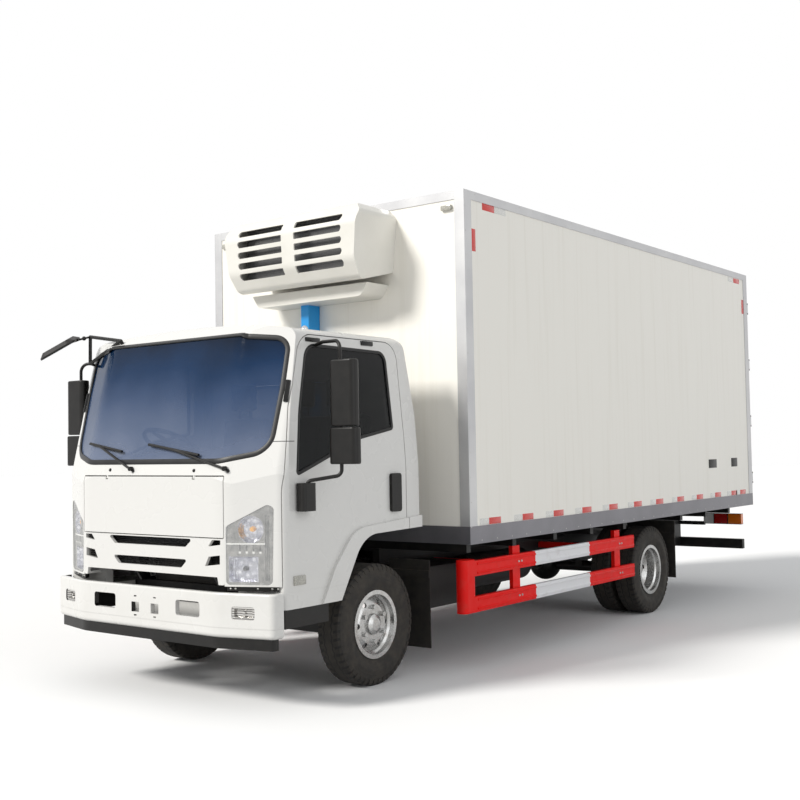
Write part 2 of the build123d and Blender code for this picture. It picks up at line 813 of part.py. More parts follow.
# Seat outline from the side: distance behind the front axle, height, corner radius
SEAT_SIDE = (
    (-330, CAB_SEAT_FLOOR_Z + SEAT, 0),
    (220, CAB_SEAT_FLOOR_Z + SEAT, 0),
    (290, 1780, 40),
    (170, 1790, 40),
    (90, 1300, 40),
    (-370, 1290, 50),
)
with BuildPart() as seats:
    for middle, width in SEAT_PLACES:
        with BuildSketch(Plane.YZ.offset(middle - width / 2)) as section:
            trace([(y(at), up, radius) for at, up, radius in SEAT_SIDE])
        extrude(section.sketch, amount=width)
    for middle in (-450, 120, 480):
        slab((middle - 125, middle + 125), (y(150), y(235)), (1810, 2030))
        slab((middle - 60, middle + 60), (y(185), y(225)), (1770, 1815))
save(seats, "seats")

WHEEL_TILT = 30
with BuildPart() as steering_wheel:
    hub = Plane(origin=(STEERING_X, y(-520), 1580), x_dir=(1, 0, 0), z_dir=(0, 0.5, 0.866025))
    with BuildSketch(Plane(origin=hub.origin, x_dir=hub.x_dir, z_dir=-hub.y_dir)):
        with Locations((200, 0)):
            Circle(15)
    revolve(axis=Axis(hub.origin, hub.z_dir))
    with BuildSketch(hub.offset(-30)):
        Circle(60)
    extrude(amount=35)
    with BuildSketch(hub.offset(-12)):
        Rectangle(385, 36)
        with Locations((0, -100)):
            Rectangle(36, 190)
    extrude(amount=14)
    with BuildSketch(hub.offset(-129)):
        Circle(20)
    extrude(amount=109)
save(steering_wheel, "steering_wheel")

with BuildPart() as cab_steps:
    for side in SIDES.values():
        low_x, high_x = sorted((side * 700, side * 990))
        slab((low_x, high_x), (y(-948), y(-560)), (490, CAB_SILL - SEAT))
save(cab_steps, "cab_steps")

# Wipers: pivot x, arm end x and height, blade's two ends
WIPERS = (
    (-167, (-522, 1573), ((-640, 1592), (-290, 1536))),
    (660, (201, 1541), ((-40, 1577), (430, 1507))),
)
PIVOT_Z = 1426
WIPER_R = 9


def before_screen(across, height, clear):
    """Point in front of the raked windscreen by a clearance."""
    corner = RAKED_PLAN[2]
    flank = RAKED_PLAN[1]
    turn = max(0, abs(across) - corner[0]) * (flank[1] - corner[1]) / (flank[0] - corner[0])
    rake = (height - BELT_Z) * math.tan(math.radians(WINDSCREEN_RAKE))
    return across, y(corner[1] + turn + rake - clear), height


with BuildPart() as wipers:
    for pivot_x, arm_end, blade in WIPERS:
        rod(before_screen(pivot_x, PIVOT_Z, SEAT + 4), before_screen(pivot_x, PIVOT_Z, 28), 14)
        rod(before_screen(pivot_x, PIVOT_Z, 24), before_screen(*arm_end, 12), 8)
        rod(before_screen(*blade[0], WIPER_R + 1), before_screen(*blade[1], WIPER_R + 1), WIPER_R)
save(wipers, "wipers")

# ---- frame, axles and running gear --------------------------------------------------------
RAIL_BOTTOM = FRAME_TOP - RAIL_H
FRAME_REAR = WHEELBASE + REAR_OVERHANG - 60
CROSSMEMBERS = (-860, 930, 1400, 2300, WHEELBASE - 715, WHEELBASE + 685, FRAME_REAR - 50)
AXLE_TUBE_R = 50
SPRING_T = 48
# Leaf springs: axle's place, half length, seat height, eye height
SPRINGS = (
    (0, 560, 372, 480),
    (WHEELBASE, 640, TYRE_R + AXLE_TUBE_R + 2, 485),
)
EYE_R = 28
with BuildPart() as frame:
    for side in SIDES.values():
        with BuildSketch(Plane.XZ.offset(-y(FRAME_REAR))) as channel:
            with Locations((side * RAIL_X, FRAME_TOP - RAIL_H / 2)):
                Rectangle(RAIL_W, RAIL_H)
            with Locations((side * (RAIL_X - RAIL_T), FRAME_TOP - RAIL_H / 2)):
                Rectangle(RAIL_W, RAIL_H - 2 * RAIL_T, mode=Mode.SUBTRACT)
        extrude(channel.sketch, amount=y(FRAME_REAR) - FRAME_FRONT_Y)
        # Bracket and pin of the cab hinge
        inner, outer = RAIL_X - RAIL_W / 2, RAIL_X - RAIL_W / 2 + 20
        with BuildSketch(Plane.YZ.offset(side * inner)) as bracket:
            trace(
                (
                    (y(-868), FRAME_TOP - 5, 0),
                    (y(-790), FRAME_TOP - 5, 0),
                    (y(CAB_PIVOT + 40), CAB_PIVOT_Z + 40, 35),
                    (y(CAB_PIVOT - 40), CAB_PIVOT_Z + 40, 35),
                    (y(CAB_PIVOT - 40), CAB_PIVOT_Z - 50, 20),
                )
            )
        extrude(bracket.sketch, amount=side * (outer - inner))
        rod(
            (side * outer, y(CAB_PIVOT), CAB_PIVOT_Z),
            (side * (inner - 55), y(CAB_PIVOT), CAB_PIVOT_Z),
            CAB_PIN_R,
        )
        # Spring hangers
        for axle, half, _, eye_z in SPRINGS:
            for end in (-half, half):
                low_x, high_x = sorted((side * (RAIL_X - 30), side * (RAIL_X + 30)))
                slab(
                    (low_x, high_x),
                    (y(axle + end - 35), y(axle + end + 35)),
                    (eye_z + EYE_R + SEAT, RAIL_BOTTOM + 4),
                )
    for at in CROSSMEMBERS:
        slab(
            (-RAIL_X - RAIL_W / 2 + RAIL_T / 2, RAIL_X + RAIL_W / 2 - RAIL_T / 2),
            (y(at), y(at + 45)),
            (FRAME_TOP - 140, FRAME_TOP - RAIL_T / 2),
        )
save(frame, "frame")

with BuildPart() as leaf_springs:
    for axle, half, seat_z, eye_z in SPRINGS:
        for side in SIDES.values():
            with BuildSketch(Plane.YZ.offset(side * RAIL_X - SPRING_W / 2)) as pack:
                with BuildLine() as line:
                    ThreePointArc(
                        (y(axle - half), eye_z + 8), (y(axle), seat_z + SPRING_T), (y(axle + half), eye_z + 8)
                    )
                    Line((y(axle + half), eye_z + 8), (y(axle + half), eye_z - 8))
                    Line((y(axle + half), eye_z - 8), (y(axle + 60), seat_z))
                    Line((y(axle + 60), seat_z), (y(axle - 60), seat_z))
                    Line((y(axle - 60), seat_z), (y(axle - half), eye_z - 8))
                    Line((y(axle - half), eye_z - 8), (y(axle - half), eye_z + 8))
                make_face(line.edges())
                for end in (-half, half):
                    with Locations((y(axle + end), eye_z)):
                        Circle(EYE_R)
            extrude(pack.sketch, amount=SPRING_W)

with BuildPart() as front_axle:
    with BuildSketch(Plane.XZ.offset(-y(35))):
        trace(
            (
                (-690, TYRE_R - 30, 0),
                (-560, TYRE_R - 40, 60),
                (-470, 300, 60),
                (470, 300, 60),
                (560, TYRE_R - 40, 60),
                (690, TYRE_R - 30, 0),
                (690, TYRE_R + 30, 0),
                (560, TYRE_R + 25, 60),
                (430, 371.7, 60),
                (-430, 371.7, 60),
                (-560, TYRE_R + 25, 60),
                (-690, TYRE_R + 30, 0),
            )
        )
    extrude(amount=70)
    for side in SIDES.values():
        with Locations((side * KINGPIN_X, y(0), TYRE_R)):
            Cylinder(42, 90)
            Cylinder(KINGPIN_R + RUNNING_FIT, 90, mode=Mode.SUBTRACT)

REAR_HUB_OUT = 60
with BuildPart() as rear_axle:
    axle_end = REAR_WHEEL_X - 60
    rod((-axle_end, y(WHEELBASE), TYRE_R), (axle_end, y(WHEELBASE), TYRE_R), AXLE_TUBE_R)
    with Locations((0, y(WHEELBASE), TYRE_R)):
        Sphere(150)
    for side in SIDES.values():
        rod(
            (side * (axle_end - 5), y(WHEELBASE), TYRE_R),
            (side * (REAR_WHEEL_X + REAR_HUB_OUT - 10), y(WHEELBASE), TYRE_R),
            SPINDLE_R,
        )
        low_x, high_x = sorted((side * (RAIL_X - 35), side * (RAIL_X + 35)))
        slab(
            (low_x, high_x),
            (y(WHEELBASE - 60), y(WHEELBASE + 60)),
            (TYRE_R, TYRE_R + AXLE_TUBE_R + 2 - SEAT),
        )
with BuildPart() as axles:
    add(front_axle.part)
    add(rear_axle.part)
    add(leaf_springs.part)
save(axles, "axles")

with BuildPart() as powertrain:
    slab((-270, 270), (y(-560), y(280)), (440, 890))
    slab((-345, 345), (y(-180), y(-100)), (RAIL_BOTTOM + RAIL_T + SEAT, 600))
    slab((-150, 150), (y(270), y(900)), (430, 690))
    rod((0, y(890), 508), (0, y(WHEELBASE - 170), 410), 38)
    rod((0, y(WHEELBASE - 190), 411), (0, y(WHEELBASE - 149 - SEAT), 409), 60)
    # Radiator
    slab((-300, 300), (y(-800), y(-735)), (RAIL_BOTTOM - 20, 880))
    slab(
        (-RAIL_X - 20, RAIL_X + 20),
        (y(-790), y(-745)),
        (RAIL_BOTTOM + RAIL_T + SEAT, RAIL_BOTTOM + 30),
    )
save(powertrain, "powertrain")


# ---- wheels -------------------------------------------------------------------------------
def wheel_plane(side, across, along):
    """Plane through a wheel's middle, its first axis outboard and its second one a radius."""
    return Plane(origin=(side * across, along, TYRE_R), x_dir=(side, 0, 0), z_dir=(0, 0, side))


# Half section of the tyre: distance outboard, radius, corner radius
TYRE_HALF = (
    (RIM_W / 2 - SEAT, BEAD_R - 2 + SEAT, 0),
    (RIM_W / 2 - SEAT, FLANGE_R + 4, 0),
    (TYRE_W / 2 + 3, 290, 50),
    (TYRE_W / 2 - 8, 372, 30),
    (TYRE_W / 2 - 20, TYRE_R, 10),
)
TYRE_WALL = 16


def tyre(plane):
    """One tyre as an open ring with a thick tread."""
    inner = [(out - TYRE_WALL, radius - (TYRE_WALL if radius > 300 else 0), 0) for out, radius, _ in TYRE_HALF]
    near = [(out, radius, 0) for out, radius, _ in inner[:-2]] + [(inner[-1][0], inner[-1][1], 0)]
    rows = list(TYRE_HALF) + [(-out, radius, bend) for out, radius, bend in reversed(TYRE_HALF)]
    rows += [(-out, radius, bend) for out, radius, bend in near]
    rows += list(reversed(near))
    with BuildSketch(plane) as section:
        trace(rows)
    revolve(section.sketch, axis=Axis(plane.origin, (1, 0, 0)))


def rim(plane, disc_out, dish):
    """Barrel and dished disc of a wheel, with hand holes and a bore for the hub."""
    half = RIM_W / 2
    with BuildSketch(plane) as section:
        trace(
            (
                (-half - 8, FLANGE_R, 0),
                (-half, FLANGE_R, 0),
                (-half, BEAD_R - 2, 0),
                (-half + 30, BEAD_R - 2, 0),
                (-half + 42, BARREL_R, 0),
                (half - 42, BARREL_R, 0),
                (half - 30, BEAD_R - 2, 0),
                (half, BEAD_R - 2, 0),
                (half, FLANGE_R, 0),
                (half + 8, FLANGE_R, 0),
                (half + 8, BEAD_R - 2 - RIM_T, 0),
                (half - 26, BEAD_R - 2 - RIM_T, 0),
                (half - 38, BARREL_R - RIM_T, 0),
                (-half + 38, BARREL_R - RIM_T, 0),
                (-half + 26, BEAD_R - 2 - RIM_T, 0),
                (-half - 8, BEAD_R - 2 - RIM_T, 0),
            )
        )
        trace(
            (
                (disc_out - dish, BARREL_R - RIM_T + 2, 0),
                (disc_out - dish + DISC_T, BARREL_R - RIM_T + 2, 0),
                (disc_out + DISC_T, 132, 20),
                (disc_out + DISC_T, SPINDLE_R + RUNNING_FIT, 0),
                (disc_out, SPINDLE_R + RUNNING_FIT, 0),
                (disc_out, 128, 20),
            )
        )
    revolve(section.sketch, axis=Axis(plane.origin, (1, 0, 0)))


def hand_holes(side, along, across, depth):
    """Cuts the ring of round openings in a wheel's disc."""
    with BuildSketch(Plane(origin=(side * across, along, TYRE_R), x_dir=(0, 1, 0), z_dir=(side, 0, 0))) as ring:
        with PolarLocations(HAND_HOLE_PITCH_R, HAND_HOLES):
            Circle(HAND_HOLE_R)
    extrude(ring.sketch, amount=depth, mode=Mode.SUBTRACT)


def studs(side, along, across, length):
    """Adds the ring of wheel nuts."""
    with BuildSketch(Plane(origin=(side * across, along, TYRE_R), x_dir=(0, 1, 0), z_dir=(side, 0, 0))) as ring:
        with PolarLocations(BOLT_PITCH_R, WHEEL_BOLTS, start_angle=30):
            Circle(BOLT_R)
    extrude(ring.sketch, amount=length)


FRONT_DISC = 42
REAR_DISC = REAR_TYRE_PITCH / 2 - DISC_T
HUB_BACK = -62
for name, side in SIDES.items():
    front_plane = wheel_plane(side, FRONT_TYRE_X, y(0))
    front_axis = Axis(front_plane.origin, (1, 0, 0))
    with BuildPart() as front_tyre:
        tyre(front_plane)
    save(front_tyre, f"front_tyre_{name}")

    with BuildPart() as front_wheel:
        rim(front_plane, FRONT_DISC, 26)
        hand_holes(side, y(0), FRONT_TYRE_X - 30, 110)
        # Hub and its cap
        with BuildSketch(front_plane) as section:
            trace(
                (
                    (HUB_BACK, SPINDLE_R + RUNNING_FIT, 0),
                    (FRONT_DISC + 2, SPINDLE_R + RUNNING_FIT, 0),
                    (FRONT_DISC + 2, HUB_R + 40, 0),
                    (FRONT_DISC - 14, HUB_R + 40, 0),
                    (FRONT_DISC - 30, HUB_R, 10),
                    (HUB_BACK, HUB_R, 0),
                )
            )
            trace(
                (
                    (FRONT_DISC + DISC_T - 2, 0, 0),
                    (FRONT_DISC + DISC_T - 2, 70, 0),
                    (FRONT_DISC + 30, 66, 8),
                    (FRONT_DISC + 44, 40, 8),
                    (FRONT_DISC + 46, 0, 0),
                )
            )
        revolve(section.sketch, axis=front_axis)
        studs(side, y(0), FRONT_TYRE_X + FRONT_DISC + DISC_T - 1, 26)
    save(front_wheel, f"front_wheel_{name}")

    with BuildPart() as knuckle:
        fork_top = TYRE_R + 45 + KNUCKLE_GAP
        fork_bottom = TYRE_R - 45 - KNUCKLE_GAP
        with Locations((side * KINGPIN_X, y(0), TYRE_R)):
            Cylinder(KINGPIN_R, 2 * (45 + KNUCKLE_GAP + 15))
        for low in (fork_top, fork_bottom - 25):
            with Locations((side * KINGPIN_X, y(0), low + 12.5)):
                Cylinder(40, 25)
            low_x, high_x = sorted((side * KINGPIN_X, side * (KINGPIN_X + 68)))
            slab((low_x, high_x), (y(-40), y(40)), (low, low + 25))
        low_x, high_x = sorted((side * (KINGPIN_X + 50), side * (KINGPIN_X + 68)))
        slab((low_x, high_x), (y(-40), y(40)), (fork_bottom - 25, fork_top + 25))
        rod(
            (side * (KINGPIN_X + 60), y(0), TYRE_R),
            (side * (FRONT_TYRE_X + FRONT_DISC - 4), y(0), TYRE_R),
            SPINDLE_R,
        )
        # Steering arm to the rear
        slab(
            sorted((side * (KINGPIN_X + 20), side * (KINGPIN_X + 66))),
            (y(30), y(150)),
            (fork_bottom - 25, fork_bottom),
        )
    save(knuckle, f"knuckle_{name}")

    rear_plane = wheel_plane(side, REAR_WHEEL_X, y(WHEELBASE))
    with BuildPart() as rear_tyres:
        for across in (REAR_OUTER_TYRE_X, REAR_OUTER_TYRE_X - REAR_TYRE_PITCH):
            tyre(wheel_plane(side, across, y(WHEELBASE)))
    save(rear_tyres, f"rear_tyres_{name}")

    with BuildPart() as rear_wheels:
        for across, disc_out in (
            (REAR_OUTER_TYRE_X, -REAR_DISC),
            (REAR_OUTER_TYRE_X - REAR_TYRE_PITCH, REAR_DISC - DISC_T),
        ):
            rim(wheel_plane(side, across, y(WHEELBASE)), disc_out, -60 if disc_out < 0 else 60)
        hand_holes(side, y(WHEELBASE), REAR_WHEEL_X - 60, 120)
        with BuildSketch(rear_plane) as section:
            trace(
                (
                    (-50, SPINDLE_R + RUNNING_FIT, 0),
                    (REAR_HUB_OUT, SPINDLE_R + RUNNING_FIT, 0),
                    (REAR_HUB_OUT, 0, 0),
                    (REAR_HUB_OUT + 40, 0, 0),
                    (REAR_HUB_OUT + 36, 62, 10),
                    (0, 70, 0),
                    (0, 150, 0),
                    (-10, 150, 0),
                    (-50, 70, 0),
                )
            )
        revolve(section.sketch, axis=Axis(rear_plane.origin, (1, 0, 0)))
        studs(side, y(WHEELBASE), REAR_WHEEL_X + DISC_T - 1, 30)
    save(rear_wheels, f"rear_wheels_{name}")

# ---- bumper and what hangs on the frame ---------------------------------------------------
BUMPER_T = 32
BUMPER_LOWER_R = 26
BUMPER_UPPER_R = 12
BUMPER_END = -968
BUMPER_PLAN = (
    (-1000, y(BUMPER_END), 0),
    (-1000, y(-1050), 45),
    (-620, y(-FRONT_OVERHANG), 320),
    (620, y(-FRONT_OVERHANG), 320),
    (1000, y(-1050), 45),
    (1000, y(BUMPER_END), 0),
)
# Slots for the number plate's screws
PLATE_SLOT_X = 180
PLATE_SLOT_UP = 118
PLATE_SLOT_Z = 577
PLATE_SLOT_L = 26
PLATE_SLOT_R = 4.5
# Openings through the bumper: middle, low, width, height, both sides
TOW_OPENING = (385, 547, 210, 92)
FOG_OPENING = (802, 550, 150, 76)
PLATE_OPENING = (90, 538, 72, 62)
FOG_DISH = 24
FOG_BACK = 55


def bumper_opening(opening, mode, gap=0, depth=200, back=-960, corner=18):
    """Cuts or fills one of the bumper's openings on both sides."""
    middle, low, width, height = opening
    with BuildSketch(Plane.XZ.offset(-y(back))) as section:
        with Locations((middle, low + height / 2), (-middle, low + height / 2)):
            RectangleRounded(width - 2 * gap, height - 2 * gap, corner)
    extrude(section.sketch, amount=depth, mode=mode)


with BuildPart() as bumper:
    with BuildSketch(Plane.XY.offset(BUMPER_LOW)):
        trace(BUMPER_PLAN)
    extrude(amount=BUMPER_TOP - BUMPER_LOW)
    levels = bumper.edges().filter_by(lambda edge: abs((edge @ 0).Z - (edge @ 1).Z) < 1).group_by(Axis.Z)
    lower_edges, upper_edges = (level.sort_by(Axis.Y)[:-1] for level in (levels[0], levels[-1]))
    fillet(lower_edges, radius=BUMPER_LOWER_R)
    fillet(upper_edges, radius=BUMPER_UPPER_R)
    with BuildSketch(Plane.XY.offset(BUMPER_LOW - 1)):
        trace(BUMPER_PLAN)
        shrink(BUMPER_T)
        with Locations((0, y(BUMPER_END))):
            Rectangle(2 * (CAB_HALF - BUMPER_T), 2 * BUMPER_T + 2)
    extrude(amount=BUMPER_TOP - BUMPER_LOW + 2, mode=Mode.SUBTRACT)
    bumper_opening(TOW_OPENING, Mode.SUBTRACT)
    with BuildSketch(Plane.XZ.offset(1 - FRONT_Y)):
        with Locations((0, PLATE_SLOT_Z)):
            with GridLocations(PLATE_SLOT_X, PLATE_SLOT_UP, 2, 2):
                SlotOverall(PLATE_SLOT_L, 2 * PLATE_SLOT_R)
    extrude(amount=-BUMPER_T - 20, mode=Mode.SUBTRACT)
    bumper_opening(FOG_OPENING, Mode.SUBTRACT)
    bumper_opening(PLATE_OPENING, Mode.SUBTRACT, corner=4)
    # Stays back to the frame
    for side in SIDES.values():
        slab(
            sorted((side * (RAIL_X + 20), side * (RAIL_X + 34))),
            (y(-FRONT_OVERHANG + BUMPER_T - 4), y(-872)),
            (BUMPER_LOW + 20, BUMPER_LOW + 85),
        )
    slab((-RAIL_X - 34, RAIL_X + 34), (y(-884), y(-870 - SEAT)), (BUMPER_LOW + 20, RAIL_BOTTOM + 60))
save(bumper, "bumper")

with BuildPart() as fog_lamps:
    bumper_opening(FOG_OPENING, Mode.ADD, gap=SEAT)
    with BuildSketch(Plane.XY.offset(BUMPER_LOW)):
        trace(BUMPER_PLAN)
        shrink(5)
    extrude(amount=BUMPER_TOP - BUMPER_LOW, mode=Mode.INTERSECT)
    with BuildSketch(Plane.XY.offset(BUMPER_LOW)):
        trace(BUMPER_PLAN)
        shrink(FOG_BACK)
        with Locations((0, y(BUMPER_END))):
            Rectangle(2 * (CAB_HALF - FOG_BACK), 2 * FOG_BACK + 2)
    extrude(amount=BUMPER_TOP - BUMPER_LOW, mode=Mode.SUBTRACT)
    # Reflector dished into each lamp, with its bulb
    corner, flank = BUMPER_PLAN[2], BUMPER_PLAN[1]
    flow = Vector(abs(flank[0]) - abs(corner[0]), flank[1] - corner[1]).normalized()
    middle, low, width, height = FOG_OPENING
    for side in SIDES.values():
        face = Plane(
            origin=(side * abs(corner[0]), corner[1], low + height / 2),
            x_dir=Vector(side * flow.X, flow.Y),
            z_dir=Vector(side * flow.Y, -flow.X),
        )
        with BuildSketch(face) as dish:
            with Locations(((middle - abs(corner[0])) / flow.X, 0)):
                RectangleRounded(width - 24, height - 20, 12)
        extrude(dish.sketch, amount=-FOG_DISH, taper=25, mode=Mode.SUBTRACT)
        with BuildSketch(face.offset(-FOG_DISH)) as bulb:
            with Locations(((middle - abs(corner[0])) / flow.X, 0)):
                Circle(9)
        extrude(bulb.sketch, amount=12)

with BuildPart() as bumper_valance:
    with BuildSketch(Plane.XY.offset(375)):
        trace(BUMPER_PLAN)
        shrink(22)
    extrude(amount=BUMPER_LOW - SEAT - 375)
    with BuildSketch(Plane.XY.offset(374)):
        trace(BUMPER_PLAN)
        shrink(34)
        with Locations((0, y(BUMPER_END))):
            Rectangle(2 * (CAB_HALF - 34), 2 * 34 + 2)
    extrude(amount=100, mode=Mode.SUBTRACT)
save(bumper_valance, "bumper_valance")

GUARD_X = 1200
GUARD_T = 32
GUARD_FRONT = 615
GUARD_REAR = WHEELBASE - 575
GUARD_POST_T = 30
# Side guard rails: low and high edge
GUARD_RAILS = ((394, 500), (640, 745))
GUARD_POSTS = (1290, GUARD_REAR - 310)
with BuildPart() as side_guards:
    for side in SIDES.values():
        across = sorted((side * GUARD_X, side * (GUARD_X - GUARD_T)))
        for low, high in GUARD_RAILS:
            slab(across, (y(GUARD_FRONT + 100), y(GUARD_REAR)), (low, high))
        with BuildSketch(Plane.XY.offset(GUARD_RAILS[0][0])) as post:
            with Locations((side * (GUARD_X - 45), y(GUARD_FRONT + 75))):
                RectangleRounded(90, 150, 40)
        extrude(post.sketch, amount=GUARD_RAILS[1][1] + 10 - GUARD_RAILS[0][0])
        for at in GUARD_POSTS:
            # Post behind the rails and its arm from the frame
            post_out = GUARD_X - GUARD_T - SEAT
            slab(
                sorted((side * (post_out - GUARD_POST_T), side * post_out)),
                (y(at), y(at + 100)),
                (GUARD_RAILS[0][0] + 20, BOX_BOTTOM - BEARER_H - SEAT),
            )
            slab(
                sorted((side * (RAIL_X + RAIL_W / 2 + SEAT), side * (post_out - GUARD_POST_T - SEAT))),
                (y(at + 20), y(at + 80)),
                (FRAME_TOP - 70, FRAME_TOP - 20),
            )
save(side_guards, "side_guards")

with BuildPart() as tanks:
    tank_in = RAIL_X + RAIL_W / 2 + SEAT
    # Fuel tank on the right, battery box and air tanks on the left
    with BuildSketch(Plane.XZ.offset(-y(2450))) as section:
        with Locations((-(tank_in + 230), 500)):
            RectangleRounded(460, 400, 60)
    extrude(section.sketch, amount=1000)
    slab((tank_in, tank_in + 420), (y(700), y(1250)), (400, 690))
    rod((tank_in + 150, y(1500), 560), (tank_in + 150, y(2350), 560), 130)
    slab((tank_in, tank_in + 60), (y(1600), y(1680)), (520, 620))
    slab((tank_in, tank_in + 60), (y(2170), y(2250)), (520, 620))
save(tanks, "tanks")

EXHAUST_X = -240
EXHAUST_Z = 430
with BuildPart() as exhaust:
    with BuildSketch(Plane.XZ.offset(-y(1600))) as section:
        with Locations((EXHAUST_X, EXHAUST_Z)):
            Ellipse(110, 80)
    extrude(section.sketch, amount=650)
    rod((EXHAUST_X, y(1590), EXHAUST_Z), (EXHAUST_X, y(3000), EXHAUST_Z), 30)
    rod((-310, y(0), EXHAUST_Z + 40), (-310, y(960), EXHAUST_Z + 40), 30)
    hanger = CROSSMEMBERS[2]
    slab(
        (EXHAUST_X - 20, EXHAUST_X + 20),
        (y(hanger + 10), y(hanger + 30)),
        (EXHAUST_Z + 60, FRAME_TOP - 140 - SEAT),
    )
save(exhaust, "exhaust")

with BuildPart() as mudflaps:
    for side in SIDES.values():
        slab(sorted((side * 640, side * 985)), (y(505), y(513)), (165, 760))
        slab(sorted((side * (RAIL_X + RAIL_W / 2 + SEAT), side * 985)), (y(495), y(520)), (640, 690))
        slab(sorted((side * 640, side * 1120)), (y(WHEELBASE + 470), y(WHEELBASE + 478)), (270, 800))
        slab(
            sorted((side * (RAIL_X + RAIL_W / 2 + SEAT), side * 1120)),
            (y(WHEELBASE + 462), y(WHEELBASE + 486)),
            (640, 690),
        )
save(mudflaps, "mudflaps")

with BuildPart() as underrun_bar:
    slab((-1130, 1130), (y(FRAME_REAR - 30), y(FRAME_REAR + 30)), (400, 500))
    for side in SIDES.values():
        slab(
            sorted((side * (RAIL_X + RAIL_W / 2 + SEAT), side * (RAIL_X + RAIL_W / 2 + 14))),
            (y(FRAME_REAR - 190), y(FRAME_REAR - 10)),
            (420, FRAME_TOP - 20),
        )
save(underrun_bar, "underrun_bar")

with BuildPart() as rear_lamps:
    for side in SIDES.values():
        slab(sorted((side * 720, side * 1130)), (y(FRAME_REAR - 50), y(FRAME_REAR + 10)), (655, 770))
        slab(
            sorted((side * (RAIL_X + RAIL_W / 2 + 14 + SEAT), side * 725)),
            (y(FRAME_REAR - 40), y(FRAME_REAR - 10)),
            (FRAME_TOP - 60, FRAME_TOP - 20),
        )
with BuildPart() as road_lamps:
    add(fog_lamps.part)
    add(rear_lamps.part)
save(road_lamps, "road_lamps")

# ---- insulated box ------------------------------------------------------------------------
BOX_HALF = BOX_W / 2
BOX_FRONT = BOX_GAP
BOX_REAR = BOX_GAP + BOX_REAR_Y - BOX_FRONT_Y
FLOOR_TOP = BOX_BOTTOM + BOX_FLOOR
ROOF_LOW = BOX_TOP - BOX_WALL
WALL_REAR = BOX_REAR - REAR_FRAME_D
WALL_OUT = BOX_HALF - EDGE_T

with BuildPart() as box_subframe:
    for side in SIDES.values():
        slab(
            sorted((side * (RAIL_X - 30), side * (RAIL_X + 30))),
            (y(BOX_FRONT + 20), y(FRAME_REAR)),
            (FRAME_TOP + SEAT, BOX_BOTTOM - BEARER_H - SEAT),
        )
    bearer = BOX_FRONT + 40
    while bearer < BOX_REAR - 60:
        if abs(bearer + 25 - WHEELBASE) > 200:
            slab(
                (-BOX_HALF + 60, BOX_HALF - 60),
                (y(bearer), y(bearer + 50)),
                (BOX_BOTTOM - BEARER_H, BOX_BOTTOM - SEAT),
            )
        bearer += BEARER_PITCH
save(box_subframe, "box_subframe")

with BuildPart() as box_floor:
    slab(
        (-WALL_OUT + SEAT, WALL_OUT - SEAT),
        (y(BOX_FRONT + EDGE_T + SEAT), y(WALL_REAR - SEAT)),
        (BOX_BOTTOM, FLOOR_TOP - DECK_T),
    )
    # Deck between the walls
    slab(
        (-WALL_OUT + BOX_WALL + SEAT, WALL_OUT - BOX_WALL - SEAT),
        (y(BOX_FRONT + EDGE_T + BOX_WALL + SEAT), y(WALL_REAR - SEAT)),
        (FLOOR_TOP - DECK_T, FLOOR_TOP),
    )
save(box_floor, "box_floor")

with BuildPart() as box_walls:
    for side in SIDES.values():
        slab(
            sorted((side * WALL_OUT, side * (WALL_OUT - BOX_WALL))),
            (y(BOX_FRONT + BOX_WALL + EDGE_T + SEAT), y(WALL_REAR - SEAT)),
            (FLOOR_TOP - DECK_T + SEAT, ROOF_LOW - EDGE_T - SEAT),
        )
    slab(
        (-WALL_OUT, WALL_OUT),
        (y(BOX_FRONT + EDGE_T), y(BOX_FRONT + EDGE_T + BOX_WALL)),
        (FLOOR_TOP - DECK_T + SEAT, ROOF_LOW - EDGE_T - SEAT),
    )
save(box_walls, "box_walls")

with BuildPart() as box_roof:
    slab(
        (-WALL_OUT + SEAT, WALL_OUT - SEAT),
        (y(BOX_FRONT + EDGE_T + SEAT), y(WALL_REAR - SEAT)),
        (ROOF_LOW - EDGE_T, BOX_TOP - EDGE_T - SEAT),
    )
save(box_roof, "box_roof")

EDGE_IN = WALL_OUT + SEAT
with BuildPart() as box_edges:
    for side in SIDES.values():
        # Bottom rail, top rail and front corner post of one side, each an angle over the panels
        slab(
            sorted((side * EDGE_IN, side * BOX_HALF)),
            (y(BOX_FRONT + POST_SIDE + SEAT), y(WALL_REAR - SEAT)),
            (BOX_BOTTOM, BOX_BOTTOM + RAIL_BAND),
        )
        slab(
            sorted((side * EDGE_IN, side * BOX_HALF)),
            (y(BOX_FRONT + POST_SIDE + SEAT), y(WALL_REAR - SEAT)),
            (BOX_TOP - TOP_BAND, BOX_TOP),
        )
        slab(
            sorted((side * EDGE_IN, side * BOX_HALF)),
            (y(BOX_FRONT), y(BOX_FRONT + POST_SIDE)),
            (BOX_BOTTOM, BOX_TOP),
        )
        slab(
            sorted((side * (BOX_HALF - POST_FRONT), side * BOX_HALF)),
            (y(BOX_FRONT), y(BOX_FRONT + EDGE_T - SEAT)),
            (BOX_BOTTOM, BOX_TOP),
        )
    front_limit = BOX_HALF - POST_FRONT - SEAT
    slab(
        (-front_limit, front_limit),
        (y(BOX_FRONT), y(BOX_FRONT + EDGE_T - SEAT)),
        (BOX_BOTTOM, BOX_BOTTOM + RAIL_BAND),
    )
    slab(
        (-front_limit, front_limit),
        (y(BOX_FRONT), y(BOX_FRONT + EDGE_T - SEAT)),
        (BOX_TOP - TOP_BAND, BOX_TOP),
    )
save(box_edges, "box_edges")

